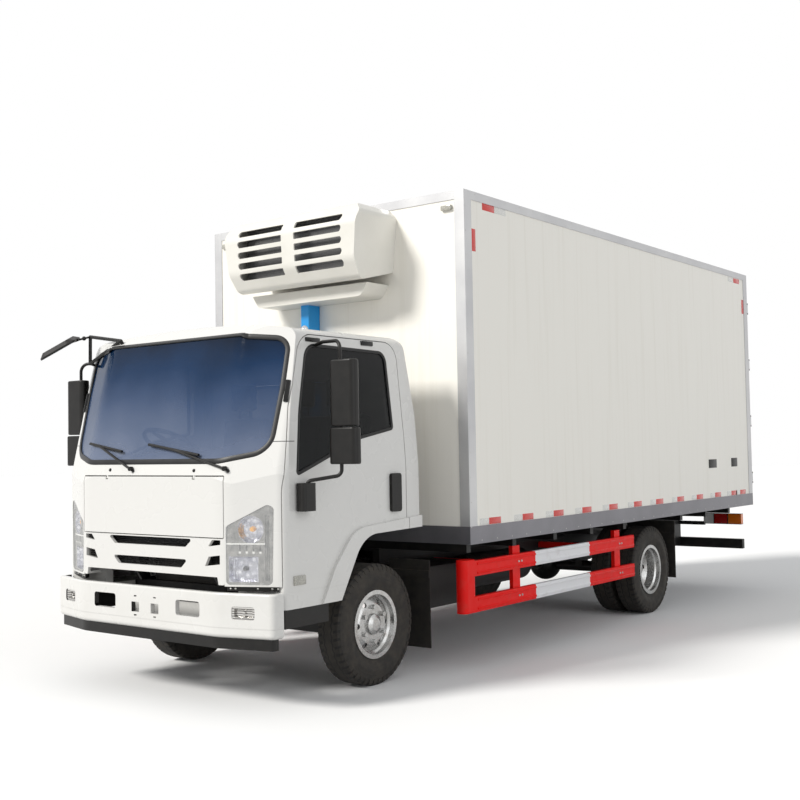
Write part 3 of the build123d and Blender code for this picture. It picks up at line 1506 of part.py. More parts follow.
REAR_SILL = FLOOR_TOP
REAR_HEAD = BOX_TOP - 110
with BuildPart() as rear_frame:
    for side in SIDES.values():
        slab(
            sorted((side * (BOX_HALF - REAR_FRAME_W), side * BOX_HALF)),
            (y(WALL_REAR), y(BOX_REAR)),
            (BOX_BOTTOM, BOX_TOP),
        )
    rear_inner = BOX_HALF - REAR_FRAME_W - SEAT
    for low, high in ((BOX_BOTTOM, REAR_SILL), (REAR_HEAD, BOX_TOP)):
        slab((-rear_inner, rear_inner), (y(WALL_REAR), y(BOX_REAR)), (low, high))
save(rear_frame, "rear_frame")

with BuildPart() as rear_hinges:
    # Hinge pins held by blades behind the corner posts
    for side in SIDES.values():
        for middle in CARGO_HINGE_Z:
            for low in (middle - 60, middle + 40):
                slab(
                    sorted((side * (CARGO_HINGE_X - 14), side * (CARGO_HINGE_X + 14))),
                    (y(BOX_REAR + SEAT), y(BOX_REAR + CARGO_HINGE_OUT + 12)),
                    (low, low + 20),
                )
            with Locations((side * CARGO_HINGE_X, y(BOX_REAR + CARGO_HINGE_OUT), middle)):
                Cylinder(CARGO_PIN_R, 102)
save(rear_hinges, "rear_hinges")

DOOR_T = 80
DOOR_HALF = BOX_HALF - REAR_FRAME_W
for name, side in SIDES.items():
    with BuildPart() as cargo_door:
        slab(
            sorted((side * SHUT_GAP / 2, side * (DOOR_HALF - SHUT_GAP))),
            (y(BOX_REAR - DOOR_T), y(BOX_REAR - 2)),
            (REAR_SILL + SHUT_GAP, REAR_HEAD - SHUT_GAP),
        )
    save(cargo_door, f"cargo_door_{name}")

    with BuildPart() as hardware:
        for middle in CARGO_HINGE_Z:
            with Locations((side * CARGO_HINGE_X, y(BOX_REAR + CARGO_HINGE_OUT), middle)):
                Cylinder(16, 70)
            slab(
                sorted((side * (CARGO_HINGE_X - 5), side * (DOOR_HALF - 260))),
                (y(BOX_REAR + CARGO_HINGE_OUT - 22), y(BOX_REAR + CARGO_HINGE_OUT - 12)),
                (middle - 30, middle + 30),
            )
            slab(
                sorted((side * (DOOR_HALF - 20), side * (DOOR_HALF - 260))),
                (y(BOX_REAR - 2 + SEAT), y(BOX_REAR + CARGO_HINGE_OUT - 14)),
                (middle - 28, middle + 28),
            )
            with Locations((side * CARGO_HINGE_X, y(BOX_REAR + CARGO_HINGE_OUT), middle)):
                Cylinder(CARGO_PIN_R + RUNNING_FIT, 70, mode=Mode.SUBTRACT)
        for at_x in (300, 800):
            rod(
                (side * at_x, y(BOX_REAR + 20), REAR_SILL + 30),
                (side * at_x, y(BOX_REAR + 20), REAR_HEAD - 30),
                LOCK_ROD_R,
            )
            for at_z in (REAR_SILL + 60, 1400, 2200, REAR_HEAD - 90):
                slab(
                    sorted((side * (at_x - 30), side * (at_x + 30))),
                    (y(BOX_REAR - 2 + SEAT), y(BOX_REAR + 20)),
                    (at_z, at_z + 40),
                )
    save(hardware, f"cargo_locks_{name}")

# ---- cooling unit -------------------------------------------------------------------------
UNIT_BACK = BOX_FRONT + EDGE_T - SEAT
UNIT_FACE = BOX_FRONT - UNIT_DEPTH
UNIT_TOP = BOX_TOP - UNIT_DROP
UNIT_SIDE = (
    (y(UNIT_BACK), UNIT_TOP - 460, 0),
    (y(UNIT_BACK), UNIT_TOP - 10, 0),
    (y(UNIT_FACE + 100), UNIT_TOP, 90),
    (y(UNIT_FACE), UNIT_TOP - 130, 120),
    (y(UNIT_FACE + 15), UNIT_TOP - 400, 120),
    (y(UNIT_FACE + 110), UNIT_TOP - 545, 70),
)
UNIT_FRONT = (
    (-590, UNIT_TOP - 560, 60),
    (590, UNIT_TOP - 560, 60),
    (645, UNIT_TOP - 70, 60),
    (560, UNIT_TOP + 12, 120),
    (-560, UNIT_TOP + 12, 120),
    (-645, UNIT_TOP - 70, 60),
)


def unit_form(inset):
    """Closed form of the cooling unit's cover, drawn in by the inset."""
    with BuildPart() as form:
        with BuildSketch(Plane.YZ.offset(-UNIT_HALF)):
            trace(UNIT_SIDE)
            shrink(inset)
        extrude(amount=2 * UNIT_HALF)
        with BuildSketch(Plane.XZ.offset(-y(UNIT_BACK + 10))):
            trace(UNIT_FRONT)
            shrink(inset)
        extrude(amount=700, mode=Mode.INTERSECT)
    return form.part


def unit_inside():
    """Room inside the cooling unit's cover, open at the box wall."""
    with BuildPart() as inside:
        add(unit_form(UNIT_T))
        slab((-580, 580), (y(UNIT_BACK - 30), y(UNIT_BACK + 5)), (UNIT_TOP - 440, UNIT_TOP - 35))
    return inside.part


UNIT_SLOTS = 5
SLOT_PITCH = 80
SLOT_H = 48
SLOT_LOW = UNIT_TOP - 450
with BuildPart() as unit_cover:
    add(unit_form(0))
    add(unit_inside(), mode=Mode.SUBTRACT)
    for count in range(UNIT_SLOTS):
        low = SLOT_LOW + count * SLOT_PITCH
        for side in SIDES.values():
            with BuildSketch(Plane.XZ.offset(-y(420))) as slot:
                trace(swap(((60, low, 8), (490, low, 20), (520, low + SLOT_H, 20), (60, low + SLOT_H, 8)), side))
            extrude(slot.sketch, amount=400, mode=Mode.SUBTRACT)
save(unit_cover, "unit_cover")

with BuildPart() as unit_coil:
    slab((-530, 530), (y(UNIT_FACE + 140), y(UNIT_FACE + 240)), (UNIT_TOP - 480, UNIT_TOP - 60))
    slab((-530, 530), (y(UNIT_FACE + 240), y(UNIT_BACK - UNIT_T)), (UNIT_TOP - 447, UNIT_TOP - 400))
save(unit_coil, "unit_coil")

TRAY_LOW = UNIT_TOP - 640
with BuildPart() as unit_tray:
    with BuildSketch(Plane.XZ.offset(-y(UNIT_BACK))):
        trace(((-500, TRAY_LOW, 60), (500, TRAY_LOW, 60), (560, TRAY_LOW + 93, 0), (-560, TRAY_LOW + 93, 0)))
    extrude(amount=250)
save(unit_tray, "unit_tray")

with BuildPart() as hose_cover:
    slab((-173, -98), (y(BOX_FRONT - 127), y(BOX_FRONT - SEAT)), (BOX_BOTTOM + 38, TRAY_LOW - SEAT))
save(hose_cover, "hose_cover")

with BuildPart() as evaporator:
    slab((-550, 550), (y(BOX_FRONT + EDGE_T + BOX_WALL + SEAT), y(BOX_FRONT + 560)), (ROOF_LOW - 276, ROOF_LOW - EDGE_T - SEAT))
save(evaporator, "evaporator")
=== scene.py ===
# %% [markdown]
# A refrigerated truck, dressed over its imported frame. The frame already has every part in its
# place, in metres, with the front towards -Y. What follows adds finishes, seals, lamps, tyre
# blocks, cushions and markings. Everything stays inside the frame's box.

# %% Load the frame
import math

import bmesh
import bpy
from mathutils import Matrix, Vector
from mathutils.bvhtree import BVHTree


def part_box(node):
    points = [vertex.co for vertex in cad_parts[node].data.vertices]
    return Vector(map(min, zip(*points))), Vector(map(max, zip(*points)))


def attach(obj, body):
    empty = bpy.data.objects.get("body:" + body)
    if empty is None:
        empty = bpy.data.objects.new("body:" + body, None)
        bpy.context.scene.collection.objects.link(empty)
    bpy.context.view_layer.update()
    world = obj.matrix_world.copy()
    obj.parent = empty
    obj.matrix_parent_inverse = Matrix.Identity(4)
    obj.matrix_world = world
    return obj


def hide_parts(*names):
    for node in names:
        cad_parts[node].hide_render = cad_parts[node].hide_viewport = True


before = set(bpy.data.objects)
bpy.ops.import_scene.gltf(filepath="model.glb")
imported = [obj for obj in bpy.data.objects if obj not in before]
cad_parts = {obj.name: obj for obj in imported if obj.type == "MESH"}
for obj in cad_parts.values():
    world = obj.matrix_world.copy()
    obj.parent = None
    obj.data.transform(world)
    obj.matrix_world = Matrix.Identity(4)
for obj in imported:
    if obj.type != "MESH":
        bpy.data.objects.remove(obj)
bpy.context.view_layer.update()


def placed(name, data):
    """An object at the origin of the scene."""
    made = bpy.data.objects.new(name, data)
    bpy.context.scene.collection.objects.link(made)
    return made


# The front axle's place, and the wheelbase
AXLE_Y = -2.4975
REAR_Y = AXLE_Y + 3.815

# %% [markdown]
# A camera is placed by three directions: right, up and back. The view is level with a standing
# eye at the truck's front left corner. A small lens shift frames the truck without tilting it.

# %% Camera
EYE = Vector((5.461, -8.266, 1.532))
FOCAL_PIXELS, PICTURE_PIXELS, SENSOR = 1124.23, 800, 36
YAW, PITCH, ROLL = (math.radians(a) for a in (37.8645, 2.4053, -0.987))
level_right = Vector((math.cos(YAW), math.sin(YAW), 0))
ahead = Vector((-math.sin(YAW), math.cos(YAW), 0))
forward = ahead * math.cos(PITCH) + Vector((0, 0, math.sin(PITCH)))
level_up = level_right.cross(forward)
right = math.cos(ROLL) * level_right + math.sin(ROLL) * level_up
up = -math.sin(ROLL) * level_right + math.cos(ROLL) * level_up
camera_data = bpy.data.cameras.new("studio_camera")
camera_data.sensor_width = SENSOR
camera_data.lens = FOCAL_PIXELS * SENSOR / PICTURE_PIXELS
camera_data.shift_x = 0.025
camera_data.shift_y = 0.0007
camera_data.clip_end = 200
camera = placed("studio_camera", camera_data)
camera.matrix_world = Matrix.Translation(EYE) @ Matrix((right, up, -forward)).transposed().to_4x4()
bpy.context.scene.camera = camera
print("camera lens", round(camera_data.lens, 2))

# %% [markdown]
# A finish is a small tree of nodes behind one Principled shader. Writing its arithmetic as plain
# expressions keeps it readable, so a wire from one socket carries the usual operators. Every
# pattern reads Object coordinates, which on this truck are metres in the truck's own frame.

# %% Wires and finishes
def linear(*rgb):
    """Screen colour, 0 to 255, as the shader's linear colour."""
    out = []
    for value in rgb:
        c = value / 255
        out.append(c / 12.92 if c <= 0.04045 else ((c + 0.055) / 1.055) ** 2.4)
    return (*out, 1.0)


class Wire:
    """One output socket, with arithmetic that adds Math nodes."""

    def __init__(self, finish, socket):
        self.finish, self.socket = finish, socket

    def math(self, operation, *others):
        """Adds a Math node with this wire first."""
        values = {i: v for i, v in enumerate((self, *others))}
        return self.finish.node("ShaderNodeMath", {"operation": operation}, values)

    def __add__(self, other):
        return self.math("ADD", other)

    def __sub__(self, other):
        return self.math("SUBTRACT", other)

    def __rsub__(self, other):
        return self.finish.node("ShaderNodeMath", {"operation": "SUBTRACT"}, {0: other, 1: self})

    def __mul__(self, other):
        return self.math("MULTIPLY", other)

    def __gt__(self, other):
        return self.math("GREATER_THAN", other)

    def __lt__(self, other):
        return self.math("LESS_THAN", other)

    def __abs__(self):
        return self.math("ABSOLUTE")

    __radd__ = __add__
    __rmul__ = __mul__


# The colour inputs of a Mix node
COLOUR_SOCKETS = (6, 7)


class Finish:
    """A material being put together around one Principled shader."""

    def __init__(self, name, roughness=0.5, metallic=0.0, **fixed):
        self.material = bpy.data.materials.new(name)
        self.material.use_nodes = True
        self.tree = self.material.node_tree
        self.shader = self.tree.nodes["Principled BSDF"]
        self.shader.inputs["Roughness"].default_value = roughness
        self.shader.inputs["Metallic"].default_value = metallic
        for key, value in fixed.items():
            self.shader.inputs[key.replace("_", " ")].default_value = value
        self.coords = self.node("ShaderNodeTexCoord", output="Object")

    def node(self, kind, settings=None, values=None, output=0):
        """Adds a node: its settings first, then a value or a wire for each named socket."""
        made = self.tree.nodes.new(kind)
        for key, value in (settings or {}).items():
            if key == "stops":
                ramp = made.color_ramp
                for place, tone in value[len(ramp.elements):]:
                    ramp.elements.new(place)
                for element, (place, tone) in zip(ramp.elements, value):
                    element.position = place
                    element.color = tone if isinstance(tone, tuple) else (tone, tone, tone, 1)
            else:
                setattr(made, key, value)
        for key, value in (values or {}).items():
            if isinstance(value, Wire):
                self.tree.links.new(value.socket, made.inputs[key])
            else:
                made.inputs[key].default_value = value
        return Wire(self, made.outputs[output])

    def feed(self, socket, wire):
        """Links a wire to one of the shader's sockets."""
        self.tree.links.new(wire.socket, self.shader.inputs[socket])

    def stretched(self, scale):
        """Object coordinates, scaled by a different number along each axis."""
        return self.node("ShaderNodeMapping", {}, {"Vector": self.coords, "Scale": scale})

    def noise(self, scale, detail=3, coords=None):
        """Soft noise from 0 to 1, with so many cells to the metre."""
        values = {"Vector": coords or self.coords, "Scale": scale, "Detail": detail, "Roughness": 0.55}
        return self.node("ShaderNodeTexNoise", {}, values)

    def ramp(self, wire, *stops):
        """Carries a wire through a row of colours."""
        return self.node("ShaderNodeValToRGB", {"stops": stops}, {"Fac": wire})

    def between(self, wire, low, high, start=0.0, end=1.0):
        """Carries a wire's range from low..high to start..end, held at its ends."""
        values = {"Value": wire, 1: low, 2: high, 3: start, 4: end}
        return self.node("ShaderNodeMapRange", {"clamp": True}, values)

    def blend(self, factor, first, second):
        """Mixes two colours, each a wire or a screen colour, by a factor."""
        pair = (c if isinstance(c, Wire) else linear(*c) for c in (first, second))
        values = {"Factor": factor, **dict(zip(COLOUR_SOCKETS, pair))}
        return self.node("ShaderNodeMix", {"data_type": "RGBA"}, values, output=2)

    def uneven(self, scale, detail, low, high):
        """Lets the roughness wander between two values."""
        self.feed("Roughness", self.between(self.noise(scale, detail), 0.3, 0.7, low, high))

    def axes(self, coords=None):
        """The three object coordinates as separate wires."""
        split = self.tree.nodes.new("ShaderNodeSeparateXYZ")
        self.tree.links.new((coords or self.coords).socket, split.inputs[0])
        return [Wire(self, o) for o in split.outputs]

    def bump(self, height, strength=0.3, distance=0.002, under=None):
        """Turns a height into a normal, over another bump if one is given."""
        values = {"Height": height, "Strength": strength, "Distance": distance}
        if under:
            values["Normal"] = under
        return self.node("ShaderNodeBump", {}, values)


def dress(finish, *nodes):
    """Gives a finish to CAD nodes."""
    for name in nodes:
        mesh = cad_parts[name].data
        mesh.materials.clear()
        mesh.materials.append(finish.material)


def weathered(name, colour, grime, rough=(0.3, 0.5), scale=3.0, amount=0.35, grain=0.0, **fixed):
    """A finish whose colour is soiled by broad noise, with a fine grain if asked."""
    finish = Finish(name, **fixed)
    patches = finish.between(finish.noise(scale, 6), 0.45, 0.75, 0, amount)
    finish.feed("Base Color", finish.blend(patches, colour, grime))
    finish.uneven(scale * 4, 4, *rough)
    if grain:
        finish.feed("Normal", finish.bump(finish.noise(grain, 2), 0.2, 0.0006))
    return finish


# %% [markdown]
# The cab is pressed steel in a white gloss enamel. Such paint is never quite even: it has a faint
# orange peel, and road film gathers low down. The film is a mask that fades with height.

# %% Cab paint
cab_paint = Finish("cab_enamel", Coat_Weight=0.3, Coat_Roughness=0.06)
across, lengthwise, height = cab_paint.axes()
film = cab_paint.between(cab_paint.noise(5, 6), 0.4, 0.75)
film = cab_paint.between(height, 1.0, 0.45, 0, 0.22) * film
PILLAR_SEAM, BUMPER_CREASE = 1.580, 0.500
seam = (abs(height - PILLAR_SEAM) < 0.0022) * (abs(across) > 0.900) * (lengthwise < AXLE_Y - 0.845)
enamel = cab_paint.blend(film, (220, 219, 216), (192, 189, 180))
enamel = cab_paint.blend(seam, enamel, (60, 60, 60))
# Inner faces low at the front, whose normals point towards the axle, are painted near black: painted
# shade in the bumper's recesses
normal_x, normal_y, _ = cab_paint.axes(cab_paint.node("ShaderNodeNewGeometry", output="Normal"))
inward = across * normal_x + (lengthwise - AXLE_Y) * normal_y < -0.02
painted_recess_shade = inward * (height < 0.705) * (lengthwise < AXLE_Y - 0.955)
cab_paint.feed("Base Color", cab_paint.blend(painted_recess_shade, enamel, (20, 20, 20)))
cab_paint.uneven(3, 3, 0.25, 0.30)
crease = cab_paint.between(height, BUMPER_CREASE - 0.004, BUMPER_CREASE + 0.004) * (height < 0.7)
peel = cab_paint.bump(cab_paint.noise(55, 1), 0.012, 0.0004)
cab_paint.feed("Normal", cab_paint.bump(crease - seam, 0.6, 0.003, peel))
dress(cab_paint, "cab_shell", "door_left", "door_right", "front_lid", "bumper", "front_grille")

unit_paint = weathered("unit_moulding", (228, 226, 219), (200, 196, 186), (0.28, 0.4), 2.5, 0.3, 240)
dress(unit_paint, "unit_cover", "evaporator", "unit_tray")

# %% [markdown]
# The box panels are glass-fibre skins with a satin face. Their resin shows long upright ripples
# and a little staining that runs down from the top rail, so two noises are stretched upwards.

# %% Box panels
panel = Finish("box_skin")
ripple = panel.noise(1.0, 4, panel.stretched((9, 9, 0.35)))
stain = panel.between(panel.noise(1.0, 6, panel.stretched((22, 22, 0.6))), 0.52, 0.8, 0, 0.35)
panel.feed("Base Color", panel.blend(stain, (246, 243, 235), (224, 219, 206)))
panel.feed("Roughness", panel.between(ripple, 0.3, 0.7, 0.32, 0.46))
panel.feed("Normal", panel.bump(ripple, 0.35, 0.006))
dress(panel, "box_walls", "box_roof", "cargo_door_left", "cargo_door_right")

# %% [markdown]
# Corner rails and posts are drawn aluminium: fine lines run along each length, dulled by a white
# bloom. One brushed noise per direction is enough, picked by which way the rail runs.

# %% Aluminium
rail = Finish("rail_aluminium", metallic=0.7)
along = rail.noise(1.0, 2, rail.stretched((420, 1.2, 420)))
bloom = rail.between(rail.noise(2.2, 5), 0.35, 0.75)
_, _, rail_height = rail.axes()
low_rail = rail_height < 0.985
bright = rail.blend(bloom, (186, 186, 188), (204, 204, 204))
# Rails below 0.985 m take this darker copy of the aluminium: painted shade
low_rail_painted_shade = rail.blend(bloom, (118, 117, 122), (138, 137, 142))
rail.feed("Base Color", rail.blend(low_rail, bright, low_rail_painted_shade))
rail.feed("Roughness", rail.between(bloom, 0, 1, 0.38, 0.46))
rail.feed("Normal", rail.bump(along, 0.12, 0.0008))
dress(rail, "box_edges", "rear_frame", "box_floor")

# %% [markdown]
# The cooling unit's coil is a block of thin aluminium fins over copper tubes. The fins are too fine
# to model, so a tight wave across the block paints shade into the gaps between them.

# %% Coil fins
coil = Finish("coil_fins", 0.45, 0.6)
coil_x, _, coil_z = coil.axes()
fins = coil.between((coil_x * (math.tau / 0.006)).math("SINE"), -0.6, 0.8)
rows = coil.between((coil_z * (math.tau / 0.05)).math("SINE"), 0.2, 0.8, 0, 0.3)
# The dark end of this blend is painted shade in the gaps between the fins
coil.feed("Base Color", coil.blend(fins - rows, (40, 40, 42), (150, 150, 150)))
coil.feed("Normal", coil.bump(fins, 0.4, 0.001))
dress(coil, "unit_coil")

# %% [markdown]
# The chassis is sprayed black over rough steel and carries pale dust on what faces up. Dust is a
# noise held to the upper faces by the surface's own normal.

# %% Chassis, iron, steel and plastic
def dusty(name, colour, dust, rough=0.6, metallic=0.0, amount=0.6, grain=90):
    """A dark finish with dust on its upper faces."""
    finish = Finish(name, rough, metallic, Specular_IOR_Level=0.3)
    upward = finish.axes(finish.node("ShaderNodeNewGeometry", output="Normal"))[2]
    patches = finish.between(finish.noise(14, 6), 0.35, 0.65)
    settled = finish.between(upward, 0.1, 1.0, 0.08, amount) * patches
    finish.feed("Base Color", finish.blend(settled, colour, dust))
    finish.feed("Roughness", finish.between(settled, 0, 0.6, rough - 0.15, rough + 0.2))
    finish.feed("Normal", finish.bump(finish.noise(grain, 3), 0.25, 0.0008))
    return finish


chassis_black = dusty("chassis_black", (15, 15, 16), (84, 78, 70), 0.55, 0.0, 0.4)
dress(chassis_black, "frame", "axles", "box_subframe", "underrun_bar", "tanks")
dress(chassis_black, "cab_floor", "rear_hinges")
iron = dusty("raw_iron", (62, 60, 58), (120, 110, 96), 0.7, 0.3)
dress(iron, "powertrain", "knuckle_left", "knuckle_right")
exhaust_steel = dusty("exhaust_steel", (120, 112, 102), (96, 74, 56), 0.55, 0.8)
dress(exhaust_steel, "exhaust")
stainless = weathered(
    "stainless_bar", (188, 190, 192), (140, 138, 132),
    (0.25, 0.4), 9, 0.4, metallic=0.9,
)
dress(stainless, "cargo_locks_left", "cargo_locks_right")
black_plastic = dusty("black_moulding", (17, 16, 15), (66, 62, 58), 0.5, 0.0, 0.2, 420)
dress(black_plastic, "bumper_valance", "wipers", "cab_steps", "lamp_sills", "front_mirror")
dress(black_plastic, "door_left_fittings", "door_right_fittings")
trim_plastic = dusty("cabin_trim", (58, 60, 64), (88, 86, 82), 0.6, 0.0, 0.15, 300)
dress(trim_plastic, "dashboard", "steering_wheel")
flap_rubber = dusty("flap_rubber", (33, 32, 31), (122, 112, 98), 0.75, 0.0, 0.7, 60)
dress(flap_rubber, "mudflaps")
pipe_blue = weathered("pipe_cover_blue", (26, 152, 226), (52, 132, 190), (0.3, 0.45), 6, 0.3, 200)
dress(pipe_blue, "hose_cover")
print("finishes", len(bpy.data.materials))

# %% [markdown]
# The side guards are red, with a white length in the middle of each. The paint changes at two
# places along the truck, so the colour is chosen by the coordinate along it.

# %% Guard paint
WHITE_FROM, WHITE_TO = AXLE_Y + 1.562, AXLE_Y + 2.418
guard = Finish("guard_paint", Specular_IOR_Level=0.25)
_, lengthwise, _ = guard.axes()
white = (lengthwise > WHITE_FROM) * (lengthwise < WHITE_TO)
colour = guard.blend(white, (236, 10, 3), (236, 236, 238))
guard_soil = guard.between(guard.noise(11, 6), 0.55, 0.85, 0, 0.2)
guard.feed("Base Color", guard.blend(guard_soil, colour, (120, 104, 92)))
guard.uneven(20, 4, 0.4, 0.55)
guard.feed("Normal", guard.bump(guard.noise(70, 2), 0.08, 0.0006))
dress(guard, "side_guards")

# %% [markdown]
# Tyres are black rubber gone grey with dust. The grooves between their ribs are found from the angle
# about the axle and the distance across the tyre, and pressed in as bump. The blocks on their shoulders
# are shapes and follow further down.

# %% Tyres and rims
TYRE_Z = 0.389
# Where the middle of each tyre of one side stands, and the blocks on each of its shoulders
FRONT_TYRES, REAR_TYRES = (0.830,), (0.771, 1.003)
BLOCKS_ROUND, BLOCK_SLANT = 48, 30


def tyre_rubber(name, axle_y, middles):
    """Grooved rubber for tyres that turn about one axle."""
    rubber = Finish(name, 0.8)
    x, y, z = rubber.axes()
    back, above = y - axle_y, z - TYRE_Z
    angle = above.math("ARCTAN2", back)
    radius = (back * back + above * above).math("SQRT")
    across = abs(x) - middles[0]
    if len(middles) > 1:
        outer = abs(x) > (middles[0] + middles[1]) / 2
        across = across - outer * (middles[1] - middles[0])
    turned = angle * BLOCKS_ROUND
    wave = turned.math("SINE")
    ribs = abs(abs(across) - 0.030 + wave * 0.004) < 0.005
    shoulder_cut = ((turned + across * BLOCK_SLANT).math("SINE") > 0.45) * (abs(across) > 0.045)
    tread = radius > 0.372
    groove = (ribs + shoulder_cut > 0.5) * tread
    wall_rings = ((radius * 260).math("SINE") > 0.85) * (radius < 0.36)
    dust = rubber.between(rubber.noise(18, 6), 0.35, 0.75, 0.05, 0.6)
    worn = rubber.blend(dust, (30, 28, 26), (72, 66, 58))
    # Grooves keep no dust and take a colour darker than clean rubber: the extra darkness is painted
    # shade
    rubber.feed("Base Color", rubber.blend(groove, worn, (16, 15, 14)))
    grain = rubber.noise(260, 3) * 0.06
    rubber.feed("Normal", rubber.bump(grain - groove + wall_rings * 0.12, 1.0, 0.008))
    return rubber


front_rubber = tyre_rubber("front_tread", AXLE_Y, FRONT_TYRES)
rear_rubber = tyre_rubber("rear_tread", REAR_Y, REAR_TYRES)
dress(front_rubber, "front_tyre_left", "front_tyre_right")
dress(rear_rubber, "rear_tyres_left", "rear_tyres_right")
rim = weathered(
    "rim_silver", (190, 190, 189), (118, 108, 96),
    (0.16, 0.34), 16, 0.45, 150, metallic=0.8,
)
dress(rim, "front_wheel_left", "front_wheel_right", "rear_wheels_left", "rear_wheels_right")

# %% [markdown]
# Laminated glass is clear with a cool tint and a darker band at the top of the windscreen. The
# windscreen's blue tones are partly that tint and band and partly painted sky reflection. It is
# drawn as a thin tinted skin: partly see-through, with a hard gloss on top.

# %% Glass
def tinted(name, tones, low, high, cover):
    """Thin tinted glass: tones from its foot to its top, and how much it hides at both ends."""
    glass = Finish(name, Specular_IOR_Level=0.22)
    _, _, up = glass.axes()
    rise = glass.between(up, low, high)
    smear = glass.between(glass.noise(2.2, 5), 0.3, 0.75, -0.08, 0.08)
    stops = [(i / (len(tones) - 1), linear(*tone)) for i, tone in enumerate(tones)]
    glass.feed("Base Color", glass.ramp(rise + smear, *stops))
    glass.feed("Alpha", glass.between(rise, 0.55, 1.0, *cover))
    glass.uneven(30, 3, 0.03, 0.07)
    return glass


# Pale blue at the foot to dark navy at the top: partly the glass's tint and top band, partly painted
# sky reflection
SCREEN_TINT_AND_SKY = ((122, 134, 160), (92, 108, 138), (62, 84, 120), (22, 52, 88), (0, 22, 46))
dress(tinted("windscreen_glass", SCREEN_TINT_AND_SKY, 1.45, 2.22, (0.62, 0.97)), "cab_glass")
DOOR_TONES = ((22, 26, 27), (16, 19, 20), (10, 12, 14))
dress(tinted("door_glass", DOOR_TONES, 1.37, 2.17, (0.55, 0.85)), "door_left_glass", "door_right_glass")

# %% [markdown]
# Small pieces are shaped in a bmesh and then become objects. Each object stays at the origin with
# its place in its mesh, because a pattern on Object coordinates would slide if the object moved.
# A block, a bolt head and a lozenge are enough for most of the fittings.

# %% Making pieces
# An edge is sharp, and gets rounded, where its faces turn by more than this in radians
SHARP_EDGE = 0.6
UNTURNED = Matrix.Identity(4)


def piece(form, name, body, finish, closed=True, sharp=35):
    """Turns a bmesh into a piece that rides on a body and takes a finish."""
    if closed:
        bmesh.ops.remove_doubles(form, verts=form.verts, dist=1e-6)
        bmesh.ops.recalc_face_normals(form, faces=form.faces)
    mesh = bpy.data.meshes.new(name)
    form.to_mesh(mesh)
    form.free()
    mesh.materials.append(finish.material)
    mesh.shade_smooth()
    mesh.set_sharp_from_angle(angle=math.radians(sharp))
    made = placed(name, mesh)
    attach(made, body)
    return made


def settle(form, earlier, place):
    """Moves what was made since the earlier vertices to its place."""
    made = [v for v in form.verts if v not in earlier]
    bmesh.ops.transform(form, matrix=place, verts=made)


def block(form, low, high, edge, turn=None, upright=0.0):
    """Adds a block between two corners; its edges are rounded, its upright ones more if asked."""
    low, high = Vector(low), Vector(high)
    earlier = set(form.verts)
    bmesh.ops.create_cube(form, size=1.0)
    made = [v for v in form.verts if v not in earlier]
    bmesh.ops.scale(form, vec=high - low, verts=made)
    bevel = {"profile": 0.5, "affect": "EDGES", "material": -1}
    if upright:
        edges = {e for v in made for e in v.link_edges}
        edges = [e for e in edges if abs(e.verts[0].co.z - e.verts[1].co.z) > 1e-4]
        bmesh.ops.bevel(form, geom=edges, offset=upright, segments=5, **bevel)
        made = [v for v in form.verts if v not in earlier]
    edges = {e for v in made for e in v.link_edges}
    edges = [e for e in edges if len(e.link_faces) == 2 and e.calc_face_angle() > SHARP_EDGE]
    bmesh.ops.bevel(form, geom=edges, offset=edge, segments=2, **bevel)
    settle(form, earlier, Matrix.Translation((low + high) / 2) @ (turn or UNTURNED))


def facing(at, direction):
    """A place whose z points in a direction."""
    turn = Vector(direction).to_track_quat("Z", "Y").to_matrix().to_4x4()
    return Matrix.Translation(Vector(at)) @ turn


def stud(form, at, direction, radius, height, sides=6):
    """Adds a bolt head that stands on a point."""
    earlier = set(form.verts)
    radii = {"radius1": radius, "radius2": radius * 0.84}
    bmesh.ops.create_cone(form, cap_ends=True, segments=sides, depth=height, **radii)
    raised = Matrix.Translation((0, 0, height / 2 - 0.0004))
    settle(form, earlier, facing(at, direction) @ raised)


def dome(form, at, direction, radius, height):
    """Adds a flattened ball, half of it sunk in what carries it."""
    earlier = set(form.verts)
    bmesh.ops.create_uvsphere(form, u_segments=24, v_segments=12, radius=radius)
    made = [v for v in form.verts if v not in earlier]
    bmesh.ops.scale(form, vec=(1, 1, height / radius), verts=made)
    settle(form, earlier, facing(at, direction))


def skin_of(*nodes):
    """A search tree over nodes' faces, which tells where a ray lands on them."""
    form = bmesh.new()
    for name in nodes:
        form.from_mesh(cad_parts[name].data)
    tree = BVHTree.FromBMesh(form)
    form.free()
    return tree


def y_at(distance):
    """The frame's y for a distance behind the front axle."""
    return AXLE_Y + distance


def landing(tree, start, direction):
    """Where a ray lands on a skin, and the way that the skin faces there."""
    spot, slope, *_ = tree.ray_cast(Vector(start), Vector(direction))
    return spot, slope


def slab(form, across, along, up, edge, **more):
    """Adds a block from its two places on each axis, in any order across the truck."""
    low, high = zip(sorted(across), along, up)
    block(form, low, high, edge, **more)


print("tools ready")

# %% [markdown]
# The panes sit a little below the cab's skin, and a rubber seal fills the step. Drawing the seal by
# hand would mean following a curved opening, so it is taken from the pane itself: its outer skin
# is inset by the seal's width, the middle is removed, and the ring left over is given a thickness.

# %% Window seals
seal_rubber = dusty("seal_rubber", (24, 24, 25), (72, 70, 66), 0.5, 0.0, 0.18, 500)
# Between the windscreen and the back window
MID_CAB = -3.0


